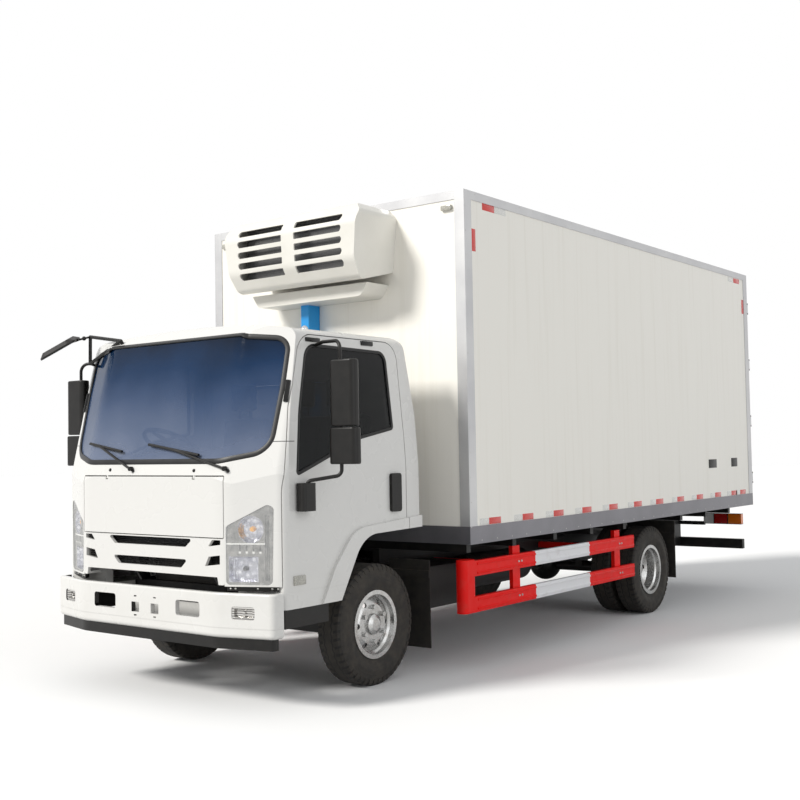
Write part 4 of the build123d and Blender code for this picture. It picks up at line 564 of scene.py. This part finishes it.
def seal(name, pane, body, width, proud, outside):
    """A rubber ring along the rim of a pane."""
    form = bmesh.new()
    form.from_mesh(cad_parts[pane].data)
    bmesh.ops.remove_doubles(form, verts=form.verts, dist=1e-5)
    bmesh.ops.delete(form, geom=[f for f in form.faces if not outside(f)], context="FACES")
    bmesh.ops.dissolve_degenerate(form, dist=1e-5, edges=form.edges)
    even = {"use_boundary": True, "use_even_offset": True}
    ring = bmesh.ops.inset_region(form, faces=form.faces, thickness=width, **even)
    kept = set(ring["faces"])
    bmesh.ops.delete(form, geom=[f for f in form.faces if f not in kept], context="FACES")
    made = piece(form, name, body, seal_rubber, closed=False)
    thick = made.modifiers.new("thickness", "SOLIDIFY")
    thick.thickness, thick.offset, thick.use_even_offset = proud, 1.0, True
    soft = made.modifiers.new("soft_edge", "BEVEL")
    soft.width, soft.segments, soft.limit_method = 0.002, 2, "ANGLE"


def of_windscreen(face):
    return face.normal.y < -0.1 and face.calc_center_median().y < MID_CAB


def of_back_window(face):
    return face.normal.y > 0.9 and face.calc_center_median().y > MID_CAB


seal("windscreen_seal", "cab_glass", "cab", 0.032, 0.009, of_windscreen)
seal("back_window_seal", "cab_glass", "cab", 0.020, 0.009, of_back_window)
seal("door_seal_left", "door_left_glass", "door_left", 0.020, 0.0085, lambda f: f.normal.x > 0.3)
seal("door_seal_right", "door_right_glass", "door_right", 0.020, 0.0085, lambda f: f.normal.x < -0.3)
print("seals made")

# %% [markdown]
# A headlamp is one housing with three regions: a round bowl with an amber bulb above, a slotted
# band, and a square reflector below. Distances along the lamp's slanted face pick the region, and
# each region chooses its colour, its metal and its facets.

# %% Headlamps
# The lamp's face: its inner end, and the cosine and sine of its slant
FACE_X, FACE_Y = 0.650, y_at(-1.112)
FACE_COS, FACE_SIN = 0.9075, 0.4200
# Along the face, then height
BOWL, SQUARE = (0.175, 1.068), (0.128, 0.836)
lamp = Finish("headlamp_housing", Coat_Roughness=0.05)
lamp_x, lamp_y, lamp_z = lamp.axes()
over, behind = abs(lamp_x) - FACE_X, lamp_y - FACE_Y
along_face = over * FACE_COS + behind * FACE_SIN
sunk = over * FACE_SIN - behind * FACE_COS


def near_point(centre, radius):
    """1 inside a circle on the lamp's face."""
    side, rise = along_face - centre[0], lamp_z - centre[1]
    return side * side + rise * rise < radius * radius


bowl = near_point(BOWL, 0.080)
bulb = near_point(BOWL, 0.016) * (sunk > -0.050) * (sunk < 0.0)
square = (abs(along_face - SQUARE[0]) < 0.0915) * (abs(lamp_z - SQUARE[1]) < 0.074)
cap = near_point(SQUARE, 0.016)
chrome = (bowl + square > 0.5) - bulb * bowl - cap * square
from_band = along_face - 0.170
dots = ((from_band * (math.tau / 0.042)).math("COSINE") < -0.55) * (abs(lamp_z - 0.934) < 0.006)
dots = dots * (abs(from_band) < 0.086)
ledge = (abs(lamp_z - 0.984) < 0.004) * (along_face < 0.262)
speckle = lamp.between(lamp.noise(40, 3), 0.3, 0.7)
housing = lamp.blend(speckle, (122, 120, 116), (150, 147, 142))
housing = lamp.blend(dots + ledge > 0.5, housing, (244, 243, 238))
mottled = lamp.node("ShaderNodeTexVoronoi", {"feature": "F1"}, {"Vector": lamp.coords, "Scale": 34})
silver = lamp.blend(lamp.between(mottled, 0.1, 0.6), (246, 246, 250), (178, 178, 188))
shown = lamp.blend(chrome > 0.5, housing, silver)
shown = lamp.blend(bulb * bowl, shown, (250, 176, 24))
shown = lamp.blend(cap * square, shown, (60, 58, 60))
lamp.feed("Base Color", shown)
lamp.feed("Metallic", lamp.between(chrome, 0, 1, 0.25, 0.9))
lamp.feed("Roughness", lamp.between(chrome, 0, 1, 0.34, 0.12))
flutes = (along_face * (math.tau / 0.016)).math("SINE") * square + mottled * bowl * 0.8
lamp.feed("Normal", lamp.bump(flutes, 0.35, 0.002))
dress(lamp, "headlamps")

# %% [markdown]
# The clear covers only add gloss and a little milkiness over the reflectors. Alpha keeps them
# cheap to render, and it is the one kind of clearness that survives the export.

# %% Lamp covers
cover = Finish("lamp_cover_clear", 0.03, Coat_Weight=0.6, Coat_Roughness=0.02)
haze = cover.between(cover.noise(22, 4), 0.35, 0.75)
cover.feed("Base Color", cover.blend(haze, (214, 218, 222), (246, 246, 244)))
cover.feed("Alpha", cover.between(haze, 0, 1, 0.13, 0.22))
dress(cover, "headlamp_covers")

# %% [markdown]
# Fog lamps in front and lamp clusters behind share one node, so the finish looks at where it is:
# grey reflectors in front, and behind from the outside in amber, red and clear lenses.

# %% Road lamps
REAR_LAMP_FACE = y_at(5.0)
road = Finish("road_lamp_lenses", 0.14, Coat_Weight=0.5, Coat_Roughness=0.04)
road_x, road_y, road_z = road.axes()
reach = abs(road_x)
rear = road_y > REAR_LAMP_FACE
lens = road.blend(reach > 0.985, (168, 10, 8), (226, 112, 12))
lens = road.blend(reach < 0.835, lens, (222, 222, 220))
frame_line = abs(abs(reach - 0.91) - 0.075) < 0.006
frame_line = frame_line + (abs(road_z - 0.7125) > 0.050) + (reach < 0.725)
lens = road.blend(frame_line > 0.5, lens, (26, 26, 27))
slats = (road_z * (math.tau / 0.014)).math("SINE")
grey = road.blend(road.between(slats, -0.6, 0.6), (116, 114, 112), (214, 212, 208))
road.feed("Base Color", road.blend(rear, grey, lens))
road.feed("Metallic", road.between(rear, 0, 1, 0.75, 0.0))
PRISM = math.tau / 0.006
prisms = ((road_x * PRISM).math("SINE") + (road_z * PRISM).math("SINE")) * rear
road.feed("Normal", road.bump(prisms + slats * 0.5, 0.3, 0.0008))
road.uneven(50, 2, 0.08, 0.2)
dress(road, "road_lamps")
print("lamps dressed")

# %% [markdown]
# Marks of prismatic tape run along the box: red lengths with a white one in front of each, and an
# upright red strip near each upper corner. Each is a film under a millimetre thick, so a block
# with a fine edge lies on the skin where a ray from outside lands.

# %% Reflective marks
def tape(name, colour):
    """Prismatic tape: a lattice of cells under a clear film."""
    film = Finish(name, Coat_Weight=0.5, Coat_Roughness=0.1)
    values = {"Vector": film.coords, "Scale": 190}
    cells = film.node("ShaderNodeTexVoronoi", {"feature": "DISTANCE_TO_EDGE"}, values)
    lines = film.between(cells, 0.02, 0.10)
    deep = [int(v * 0.8) for v in colour]
    film.feed("Base Color", film.blend(lines, deep, colour))
    film.uneven(30, 3, 0.25, 0.4)
    film.feed("Normal", film.bump(lines, 0.2, 0.0003))
    return film


red_tape, white_tape = tape("red_tape", (222, 30, 16)), tape("white_tape", (236, 235, 230))
ROW_STARTS = (0.903, 1.357, 1.817, 2.279, 2.751, 3.22, 3.671, 4.138, 4.596, 5.06, 5.50, 5.747)
ROW_LOW, ROW_HIGH, MARK_LENGTH, WHITE_LENGTH = 0.986, 1.032, 0.155, 0.120
# Distance behind the front axle, then height: start, end, low, high, and whether it is red
UPPER_MARKS = (
    (0.896, 1.055, 3.196, 3.244, True),
    (1.057, 1.209, 3.196, 3.244, False),
    (0.749, 0.802, 2.887, 3.044, True),
    (5.732, 5.894, 3.190, 3.238, True),
    (5.579, 5.730, 3.190, 3.238, False),
    (5.945, 5.998, 2.884, 3.033, True),
)
marks = list(UPPER_MARKS)
for start in ROW_STARTS:
    marks.append((start, start + MARK_LENGTH, ROW_LOW, ROW_HIGH, True))
    marks.append((start - WHITE_LENGTH, start - 0.002, ROW_LOW, ROW_HIGH, False))
box_skin = skin_of("box_walls", "box_edges", "rear_frame")
# A film's thickness, how far it is sunk, and how much its edge is rounded
FILM, SUNK, FILM_EDGE = 0.0008, 0.0002, 0.0002
red_form, white_form = bmesh.new(), bmesh.new()
for side in (1, -1):
    for start, end, low, high, is_red in marks:
        middle = (side * 2, y_at((start + end) / 2), (low + high) / 2)
        skin = landing(box_skin, middle, (-side, 0, 0))[0].x
        across = (skin - side * SUNK, skin + side * FILM)
        form = red_form if is_red else white_form
        slab(form, across, (y_at(start), y_at(end)), (low, high), FILM_EDGE)
print("marks", len(marks) * 2)

# %% [markdown]
# The rear carries the same tape along the sill and up both posts. All of it lies on the frame, which
# doesn't turn with the doors, so it joins the pieces of the sides.

# %% Rear marks
sill_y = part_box("rear_frame")[1].y
SILL_LOW, SILL_HIGH, SILL_STEP = 0.905, 0.950, 0.32
for side in (1, -1):
    for count in range(3):
        across = (side * (0.20 + SILL_STEP * count), side * (0.35 + SILL_STEP * count))
        form = white_form if count == 1 else red_form
        slab(form, across, (sill_y - SUNK, sill_y + FILM), (SILL_LOW, SILL_HIGH), FILM_EDGE)
    for low, is_red in ((2.90, True), (2.74, False), (1.30, True), (1.14, False)):
        across = (side * 1.176, side * 1.222)
        form = red_form if is_red else white_form
        slab(form, across, (sill_y - SUNK, sill_y + FILM), (low, low + MARK_LENGTH), FILM_EDGE)
piece(red_form, "red_marks", "chassis", red_tape)
piece(white_form, "white_marks", "chassis", white_tape)

# %% [markdown]
# Small lamps and plates stand on the box: white lozenges at the front's upper corners, and two
# dark plates low on each side.

# %% Marker lamps and side plates
lens_clear = Finish("marker_lens", Coat_Weight=0.7, Coat_Roughness=0.04)
values = {"Vector": lens_clear.coords, "Scale": 160}
grid = lens_clear.node("ShaderNodeTexVoronoi", {"feature": "F1"}, values)
shade = lens_clear.between(grid, 0, 0.7)
shade = lens_clear.blend(shade, (214, 212, 200), (150, 148, 140))
lens_clear.feed("Base Color", shade)
lens_clear.uneven(60, 2, 0.1, 0.2)
lens_clear.feed("Normal", lens_clear.bump(grid, 0.3, 0.0006))

BACKWARDS = (0, 1, 0)
MARKER_X, MARKER_Z = 1.085, 3.190
front_of_box = skin_of("box_walls", "box_edges")
form = bmesh.new()
for side in (1, -1):
    spot, _ = landing(front_of_box, (side * MARKER_X, y_at(-1), MARKER_Z), BACKWARDS)
    half = Vector((0.044, 0.013, 0.018))
    middle = Vector((side * MARKER_X, spot.y - 0.011, MARKER_Z))
    block(form, middle - half, middle + half, 0.007)
piece(form, "front_marker_lamps", "chassis", lens_clear)

PANEL_X, RIBS = 1.220, 5
form = bmesh.new()
for side in (1, -1):
    for start, end, low, high in ((4.92, 5.12, 1.278, 1.362), (5.52, 5.68, 1.278, 1.366)):
        across = (side * (PANEL_X - 0.001), side * (PANEL_X + 0.003))
        slab(form, across, (y_at(start), y_at(end)), (low, high), 0.0012)
        for count in range(RIBS):
            rib = low + (high - low) * (count + 0.5) / RIBS
            across = (side * PANEL_X, side * (PANEL_X + 0.0045))
            along = (y_at(start) + 0.01, y_at(end) - 0.01)
            slab(form, across, along, (rib - 0.003, rib + 0.003), 0.001)
piece(form, "side_vent_plates", "chassis", black_plastic)
print("marker lamps and plates made")

# %% [markdown]
# Fittings of the cab's front: rubber knobs above the lid, pale screws along the black strips under
# the lamps, a mesh behind the grille's slots, and a small dome on the roof. A ray from in front
# finds the skin and its slope, so that every head stands square on a curved panel.

# %% Small fittings of the cab
fitting_black = dusty("fitting_black", (20, 20, 21), (70, 68, 64), 0.35, 0.0, 0.2, 300)
zinc = weathered(
    "zinc_screw", (196, 196, 192), (120, 116, 108),
    (0.25, 0.45), 60, 0.5, 400, metallic=0.85,
)
cab_skin = skin_of("cab_shell")
BEFORE_CAB = y_at(-1.6)
form = bmesh.new()
for across, up in ((-0.384, 1.419), (-0.156, 1.412), (0.403, 1.414), (0.672, 1.411)):
    spot, slope = landing(cab_skin, (across, BEFORE_CAB, up), BACKWARDS)
    dome(form, spot, slope, 0.011, 0.010)
piece(form, "lid_buffers", "cab", fitting_black)

strips = skin_of("lamp_sills")
form = bmesh.new()
for side in (1, -1):
    for across in (0.684, 0.712, 0.838, 0.918, 0.950):
        spot, slope = landing(strips, (side * across, BEFORE_CAB, 0.722), BACKWARDS)
        if spot:
            dome(form, spot, slope, 0.0065, 0.0035)
piece(form, "strip_screws", "cab", zinc)

form = bmesh.new()
bmesh.ops.create_grid(form, x_segments=92, y_segments=15, size=0.5)
bmesh.ops.scale(form, vec=(1.25, 0.205, 1), verts=form.verts)
bmesh.ops.rotate(form, matrix=Matrix.Rotation(math.pi / 2, 3, "X"), verts=form.verts)
bmesh.ops.translate(form, vec=(0, y_at(-1.070), 0.910), verts=form.verts)
grille_mesh = piece(form, "grille_mesh", "cab", fitting_black, closed=False)
grille_mesh.modifiers.new("strands", "WIREFRAME").thickness = 0.0028

form = bmesh.new()
spot, slope = landing(cab_skin, (0.462, y_at(-0.15), 3), (0, 0, -1))
stud(form, spot, slope, 0.034, 0.014, 24)
dome(form, spot + slope * 0.010, slope, 0.029, 0.040)
chromed = weathered(
    "chromed_cap", (206, 208, 212), (120, 122, 126),
    (0.08, 0.2), 30, 0.4, metallic=0.95,
)
piece(form, "roof_dome", "cab", chromed)

form = bmesh.new()
PAD_LOW = Vector((0.9443, y_at(-0.869), 1.812))
PAD_HIGH = Vector((0.9416, y_at(-0.837), 1.944))
PAD_OUT = Vector((0.62, -0.78, 0.06))
for side in (1, -1):
    low_end, high_end = (Vector((side * p.x, p.y, p.z)) for p in (PAD_LOW, PAD_HIGH))
    out = Vector((side * PAD_OUT.x, PAD_OUT.y, PAD_OUT.z)).normalized()
    run = (high_end - low_end).normalized()
    aside = run.cross(out).normalized()
    turn = Matrix((aside, run.cross(aside).normalized(), run)).transposed().to_4x4()
    middle = (low_end + high_end) / 2
    half = Vector((0.015, 0.012, (high_end - low_end).length / 2))
    block(form, middle - half, middle + half, 0.005, turn)
piece(form, "pillar_pads", "cab", fitting_black)
print("cab fittings made")

# %% [markdown]
# The doors carry mirror glass, two black brackets over the window and a side lamp at the foot.
# They are separate pieces, because each rides on its own door.

# %% Fittings of the doors
mirror_glass = weathered(
    "mirror_glass", (214, 220, 226), (168, 176, 184),
    (0.01, 0.05), 14, 0.3, metallic=1.0,
)
MIRROR_X, MIRROR_Y = 1.250, y_at(-0.690)
# Low end, high end and width of the main head and the one under it
MIRROR_HEADS = ((1.672, 2.045, 0.185), (1.449, 1.646, 0.205))
# Start, end, low and high of the two brackets over the window
BRACKETS = ((-0.690, -0.560, 2.184, 2.210), (-0.155, -0.035, 2.192, 2.222))
doors = {1: skin_of("door_left"), -1: skin_of("door_right")}
for word, side in (("left", 1), ("right", -1)):
    body = "door_" + word
    form = bmesh.new()
    middle = side * MIRROR_X
    for low, high, width in MIRROR_HEADS:
        half = width / 2 - 0.034
        along = (MIRROR_Y + 0.0385, MIRROR_Y + 0.0410)
        slab(form, (middle - half, middle + half), along, (low + 0.016, high - 0.016), 0.0008)
    piece(form, "mirror_glass_" + word, body, mirror_glass)

    form = bmesh.new()
    for low, high, width in MIRROR_HEADS:
        half = width / 2 - 0.0003
        for end, out in ((low, -1), (high, 1)):
            along = (MIRROR_Y - 0.0397, MIRROR_Y + 0.0397)
            up = sorted((end - out * 0.010, end + out * 0.009))
            slab(form, (middle - half, middle + half), along, up, 0.0085, upright=0.0335)
    piece(form, "mirror_caps_" + word, body, black_plastic)

    form = bmesh.new()
    for start, end, low, high in BRACKETS:
        beside = (side * 2, y_at((start + end) / 2), (low + high) / 2)
        skin = landing(doors[side], beside, (-side, 0, 0))[0].x
        across = (skin - side * 0.003, skin + side * 0.010)
        slab(form, across, (y_at(start), y_at(end)), (low, high), 0.004)
    piece(form, "window_brackets_" + word, body, fitting_black)

    form = bmesh.new()
    skin = landing(doors[side], (side * 2, y_at(-0.832), 0.764), (-side, 0, 0))[0].x
    across = (skin - side * 0.004, skin + side * 0.012)
    slab(form, across, (y_at(-0.883), y_at(-0.781)), (0.736, 0.792), 0.006)
    piece(form, "side_lamp_" + word, body, lens_clear)

# The front mirror hangs over the right corner and looks down at the road
form = bmesh.new()
inner, outer = Vector((-0.913, y_at(-0.950), 2.309)), Vector((-1.154, y_at(-1.050), 2.187))
reflecting = Vector((0.243, 0.459, -0.855)).normalized()
along_head = (outer - inner).normalized()
turn = Matrix((along_head, reflecting.cross(along_head), reflecting)).transposed().to_4x4()
middle = (inner + outer) / 2 + reflecting * 0.0002
half = Vector(((outer - inner).length / 2 - 0.010, 0.0875, 0.0008))
block(form, middle - half, middle + half, 0.0004, turn, upright=0.050)
piece(form, "front_mirror_glass", "cab", mirror_glass)
print("door fittings made")

# %% [markdown]
# Steel screws hold the guards, whose rails have two pressed ribs each, and rivets hold the angle
# rails to the box. They are many, so each has only a few faces.

# %% Screws, ribs and rivets
# Low and high edge of the guards' rails, their outer face, and their posts with two screws each
GUARD_RAILS, GUARD_X = ((0.394, 0.500), (0.640, 0.745)), 1.200
GUARD_POSTS, SCREW_SHIFTS = (1.290, 2.930), (0.030, 0.070)
form = bmesh.new()
for side in (1, -1):
    for rail_low, rail_high in GUARD_RAILS:
        for post in GUARD_POSTS:
            for shift in SCREW_SHIFTS:
                spot = (side * GUARD_X, y_at(post + shift), (rail_low + rail_high) / 2)
                stud(form, spot, (side, 0, 0), 0.009, 0.006)
piece(form, "guard_screws", "chassis", zinc)

guard_low, guard_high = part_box("side_guards")
form = bmesh.new()
for side in (1, -1):
    for rail_low, rail_high in GUARD_RAILS:
        for low in (rail_low + 0.014, rail_high - 0.030):
            across = (side * (GUARD_X - 0.003), side * (GUARD_X + 0.006))
            along = (guard_low.y + 0.156, guard_high.y - 0.004)
            slab(form, across, along, (low, low + 0.016), 0.003)
print("rib points", len(form.verts))
piece(form, "guard_ribs", "chassis", guard)

RIVET_X, RIVET_RADIUS, RIVET_HEIGHT = 1.225, 0.0045, 0.0018
places = [(y_at(0.80 + 0.2 * count), up) for count in range(26) for up in (0.884, 3.290)]
places += [(y_at(0.672), 0.98 + 0.17 * count) for count in range(14)]
form = bmesh.new()
for side in (1, -1):
    for at, up in places:
        stud(form, (side * RIVET_X, at, up), (side, 0, 0), RIVET_RADIUS, RIVET_HEIGHT, 8)
print("rivet points", len(form.verts))
piece(form, "rail_rivets", "chassis", zinc)

# %% [markdown]
# Shoulder blocks: each tyre has a ring of rubber blocks on either shoulder, with gaps between them that
# meet the cuts in its tread. Their section follows the shoulder and stays under the tread's radius.

# %% Tyre shoulder blocks
# Section of a block: distance from the middle of the tyre, radius
SHOULDER = (
    (0.0735, 0.3888),
    (0.0805, 0.3886),
    (0.0925, 0.3735),
    (0.0965, 0.3520),
    (0.0915, 0.3520),
    (0.0860, 0.3700),
    (0.0735, 0.3840),
)
BLOCK_HALF_ANGLE = 0.042


def shoulder_blocks(form, side, middle, axle_y):
    """Adds the two rings of shoulder blocks of one tyre."""
    for flank in (1, -1):
        for count in range(BLOCKS_ROUND):
            ends = []
            for swing in (-BLOCK_HALF_ANGLE, BLOCK_HALF_ANGLE):
                ring = []
                for out, radius in SHOULDER:
                    across = flank * out
                    turned = 2 * math.pi * count - math.pi / 2 - BLOCK_SLANT * across
                    angle = turned / BLOCKS_ROUND + swing
                    up, along = radius * math.sin(angle), radius * math.cos(angle)
                    spot = (side * (middle + across), axle_y + along, TYRE_Z + up)
                    ring.append(form.verts.new(spot))
                ends.append(ring)
            first, second = ends
            form.faces.new(first)
            form.faces.new(second[::-1])
            for i in range(len(first)):
                form.faces.new((first[i - 1], first[i], second[i], second[i - 1]))


for word, side in (("left", 1), ("right", -1)):
    for wheel, middles, axle_y, rubber in (
        ("front_wheel_", FRONT_TYRES, AXLE_Y, front_rubber),
        ("rear_wheels_", REAR_TYRES, REAR_Y, rear_rubber),
    ):
        form = bmesh.new()
        for middle in middles:
            shoulder_blocks(form, side, middle, axle_y)
        print(wheel + word, "block points", len(form.verts))
        piece(form, wheel + word + "_blocks", wheel + word, rubber, sharp=25)

# %% [markdown]
# Door gaskets: a black rubber strip runs round each rear door where it meets the frame and its
# neighbour. The doors' own boxes give the strips their places.

# %% Rear door gaskets
GASKET = 0.016
for word in ("left", "right"):
    low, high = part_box("cargo_door_" + word)
    form = bmesh.new()
    for across, up in (
        ((low.x, high.x), (low.z, low.z + GASKET)),
        ((low.x, high.x), (high.z - GASKET, high.z)),
        ((low.x, low.x + GASKET), (low.z, high.z)),
        ((high.x - GASKET, high.x), (low.z, high.z)),
    ):
        slab(form, across, (high.y - 0.001, high.y + 0.004), up, 0.0018)
    piece(form, "door_gasket_" + word, "cargo_door_" + word, seal_rubber)

# %% [markdown]
# Seats. A stuffed cushion is crowned, and its sides pull in between its corners. A box is remeshed
# into even cells and blown up a little as cloth, its travel is capped so that it stays in its room,
# and sewn channels are then pressed in where the cover is stitched down.

# %% Seat covers and stuffing
# Cloth: pressure and steps. A sewn channel: its depth, its width, and how far it reaches
PRESSURE, STEPS = 4, 20
SEWN_DEPTH, SEWN_WIDTH, SEWN_REACH = 0.006, 0.008, 0.03


def seat_cover(name, middle, width):
    """Woven cloth in the middle of a seat and smooth bolsters at its sides."""
    cloth = Finish(name, 0.85, Sheen_Weight=0.25)
    x, y, z = cloth.axes()
    thread = math.tau / 0.0042
    weave = (x * thread).math("SINE") * ((y + z) * thread).math("SINE")
    bolster = abs(x - middle) > width / 2 - 0.075
    woven = cloth.blend(cloth.between(weave, -0.5, 0.5), (52, 56, 62), (84, 90, 98))
    worn = cloth.between(cloth.noise(9, 5), 0.4, 0.75, 0, 0.4)
    worn = cloth.blend(worn, woven, (104, 108, 112))
    cloth.feed("Base Color", cloth.blend(bolster, worn, (38, 40, 44)))
    cloth.feed("Roughness", cloth.between(bolster, 0, 1, 0.9, 0.55))
    cloth.feed("Normal", cloth.bump(weave * (1 - bolster) + cloth.noise(180, 2) * 0.5, 0.35, 0.0012))
    return cloth


def make_permanent(made):
    """Turns a piece's modifiers into its mesh."""
    seen = made.evaluated_get(bpy.context.evaluated_depsgraph_get())
    fresh = bpy.data.meshes.new_from_object(seen)
    fresh.name = made.name
    made.modifiers.clear()
    made.data = fresh


def stuffed(name, low, high, finish, cell, cap, turn=None, channels=()):
    """A cushion in the room between two corners."""
    form = bmesh.new()
    block(form, low, high, 0.026, turn)
    made = piece(form, name, "cab", finish, sharp=180)
    even = made.modifiers.new("even", "REMESH")
    even.mode, even.voxel_size = "VOXEL", cell
    make_permanent(made)
    before = [v.co.copy() for v in made.data.vertices]
    cloth = made.modifiers.new("filling", "CLOTH")
    cloth.settings.use_pressure = True
    cloth.settings.uniform_pressure_force = PRESSURE
    cloth.settings.effector_weights.gravity = 0
    cloth.point_cache.frame_start, cloth.point_cache.frame_end = 1, STEPS
    for step in range(1, STEPS + 1):
        bpy.context.scene.frame_set(step)
    make_permanent(made)
    bpy.context.scene.frame_set(1)
    for vertex, start in zip(made.data.vertices, before):
        travel = vertex.co - start
        if travel.length > cap:
            vertex.co = start + travel * (cap / travel.length)
    finer = made.modifiers.new("finer", "SUBSURF")
    finer.levels = finer.render_levels = 1
    make_permanent(made)
    low, high = Vector(low), Vector(high)
    middle = (low + high) / 2
    back = (turn or UNTURNED).to_3x3().inverted()
    thin = min(range(3), key=lambda i: (high - low)[i])
    for vertex in made.data.vertices:
        local = back @ (vertex.co - middle)
        for axis, place in channels:
            gap = abs(local[axis] - place)
            if gap < SEWN_REACH:
                pull = SEWN_DEPTH * math.exp(-((gap / SEWN_WIDTH) ** 2))
                local[thin] -= math.copysign(pull, local[thin])
        vertex.co = (back.inverted() @ local) + middle
    for polygon in made.data.polygons:
        polygon.use_smooth = True
    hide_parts("seats")


# %% [markdown]
# The driver has a seat of their own, and a double seat stands beside it, with one headrest to each
# place. Each cushion stands on a plain plinth, and each headrest on two steel rods.

# %% Seats
LEAN = Matrix.Rotation(math.radians(-9.3), 4, "X")
# Name, middle and width
SEATS = (("driver", -0.450, 0.480), ("bench", 0.300, 0.820))
HEADRESTS = (("driver", -0.450), ("middle", 0.120), ("window", 0.480))
HEADREST_WIDTH = 0.236
# Cell of the even mesh, and how far the cloth may travel
CUSHION = {"cell": 0.013, "cap": 0.012}
HEADREST = {"cell": 0.010, "cap": 0.008}
covers = {word: seat_cover(word + "_seat_cover", middle, width) for word, middle, width in SEATS}
plinth = bmesh.new()
for word, middle, width in SEATS:
    half = width / 2
    seams = [(0, -half + 0.080), (0, half - 0.080)]
    if word == "bench":
        seams.append((0, 0.0))
    left, right_end = middle - half + 0.014, middle + half - 0.014
    stuffed(
        word + "_cushion",
        (left, y_at(-0.350), 1.160),
        (right_end, y_at(0.075), 1.284),
        covers[word],
        channels=seams + [(1, -0.08), (1, 0.06)],
        **CUSHION,
    )
    stuffed(
        word + "_back",
        (left, y_at(0.150), 1.225),
        (right_end, y_at(0.250), 1.775),
        covers[word],
        turn=LEAN,
        channels=seams + [(2, -0.12), (2, 0.08)],
        **CUSHION,
    )
    across = (middle - half + 0.03, middle + half - 0.03)
    slab(plinth, across, (y_at(-0.320), y_at(0.150)), (1.077, 1.165), 0.012)
for word, middle in HEADRESTS:
    stuffed(
        word + "_headrest",
        (middle - HEADREST_WIDTH / 2, y_at(0.160), 1.820),
        (middle + HEADREST_WIDTH / 2, y_at(0.226), 2.016),
        seat_cover(word + "_headrest_cover", middle, HEADREST_WIDTH),
        **HEADREST,
    )
    for shift in (-0.055, 0.055):
        stud(plinth, (middle + shift, y_at(0.200), 1.765), (0, 0, 1), 0.006, 0.075, 12)
base = piece(plinth, "seat_plinths", "cab", trim_plastic)
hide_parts("seats")

# %% [markdown]
# The stage is a pale floor and a plain studio. White seen by the camera, by gloss and through
# glass comes from the world directly; the light that falls on the truck is set lower, so that a
# colour renders about as it is written.

# %% Stage and light
AMBIENT = 0.50
world = bpy.data.worlds.new("studio")
bpy.context.scene.world = world
world.use_nodes = True
air = world.node_tree
air.nodes.clear()
path = air.nodes.new("ShaderNodeLightPath")
seen = path.outputs["Is Camera Ray"]
for ray in ("Is Glossy Ray", "Is Transmission Ray"):
    either = air.nodes.new("ShaderNodeMath")
    either.operation = "MAXIMUM"
    air.links.new(seen, either.inputs[0])
    air.links.new(path.outputs[ray], either.inputs[1])
    seen = either.outputs[0]
ambient, shown = air.nodes.new("ShaderNodeBackground"), air.nodes.new("ShaderNodeBackground")
ambient.inputs["Color"].default_value = (0.97, 0.985, 1.0, 1)
ambient.inputs["Strength"].default_value = AMBIENT
shown.inputs["Color"].default_value = (1, 1, 1, 1)
pick, result = air.nodes.new("ShaderNodeMixShader"), air.nodes.new("ShaderNodeOutputWorld")
air.links.new(seen, pick.inputs[0])
air.links.new(ambient.outputs[0], pick.inputs[1])
air.links.new(shown.outputs[0], pick.inputs[2])
air.links.new(pick.outputs[0], result.inputs[0])

# Each light: name, strength, width in degrees, colour, and the way to it
for name, strength, width, tone, towards in (
    ("key_light", 3.0, 14, (1.0, 0.98, 0.94), (-0.36, -0.78, 0.62)),
    ("fill_light", 0.62, 50, (0.96, 0.98, 1.0), (0.93, -0.12, 0.35)),
):
    light = bpy.data.lights.new(name, "SUN")
    light.energy, light.angle, light.color = strength, math.radians(width), tone
    turn = Vector(towards).to_track_quat("Z", "Y")
    placed(name, light).rotation_euler = turn.to_euler()

floor_form = bmesh.new()
bmesh.ops.create_grid(floor_form, x_segments=1, y_segments=1, size=60)
floor_mesh = bpy.data.meshes.new("floor")
floor_form.to_mesh(floor_mesh)
floor = placed("floor", floor_mesh)
pale = Finish("pale_floor", 0.9, Specular_IOR_Level=0.1)
looked_at = pale.node("ShaderNodeLightPath", output="Is Camera Ray")
looked_at = looked_at.math("MAXIMUM", pale.node("ShaderNodeLightPath", output="Is Glossy Ray"))
grain = pale.blend(pale.noise(0.7, 3), (248, 248, 248), (250, 250, 250))
pale.feed("Base Color", pale.blend(looked_at, (190, 190, 190), grain))
floor_mesh.materials.append(pale.material)
bpy.context.scene.view_settings.view_transform = "Standard"
print("stage set")
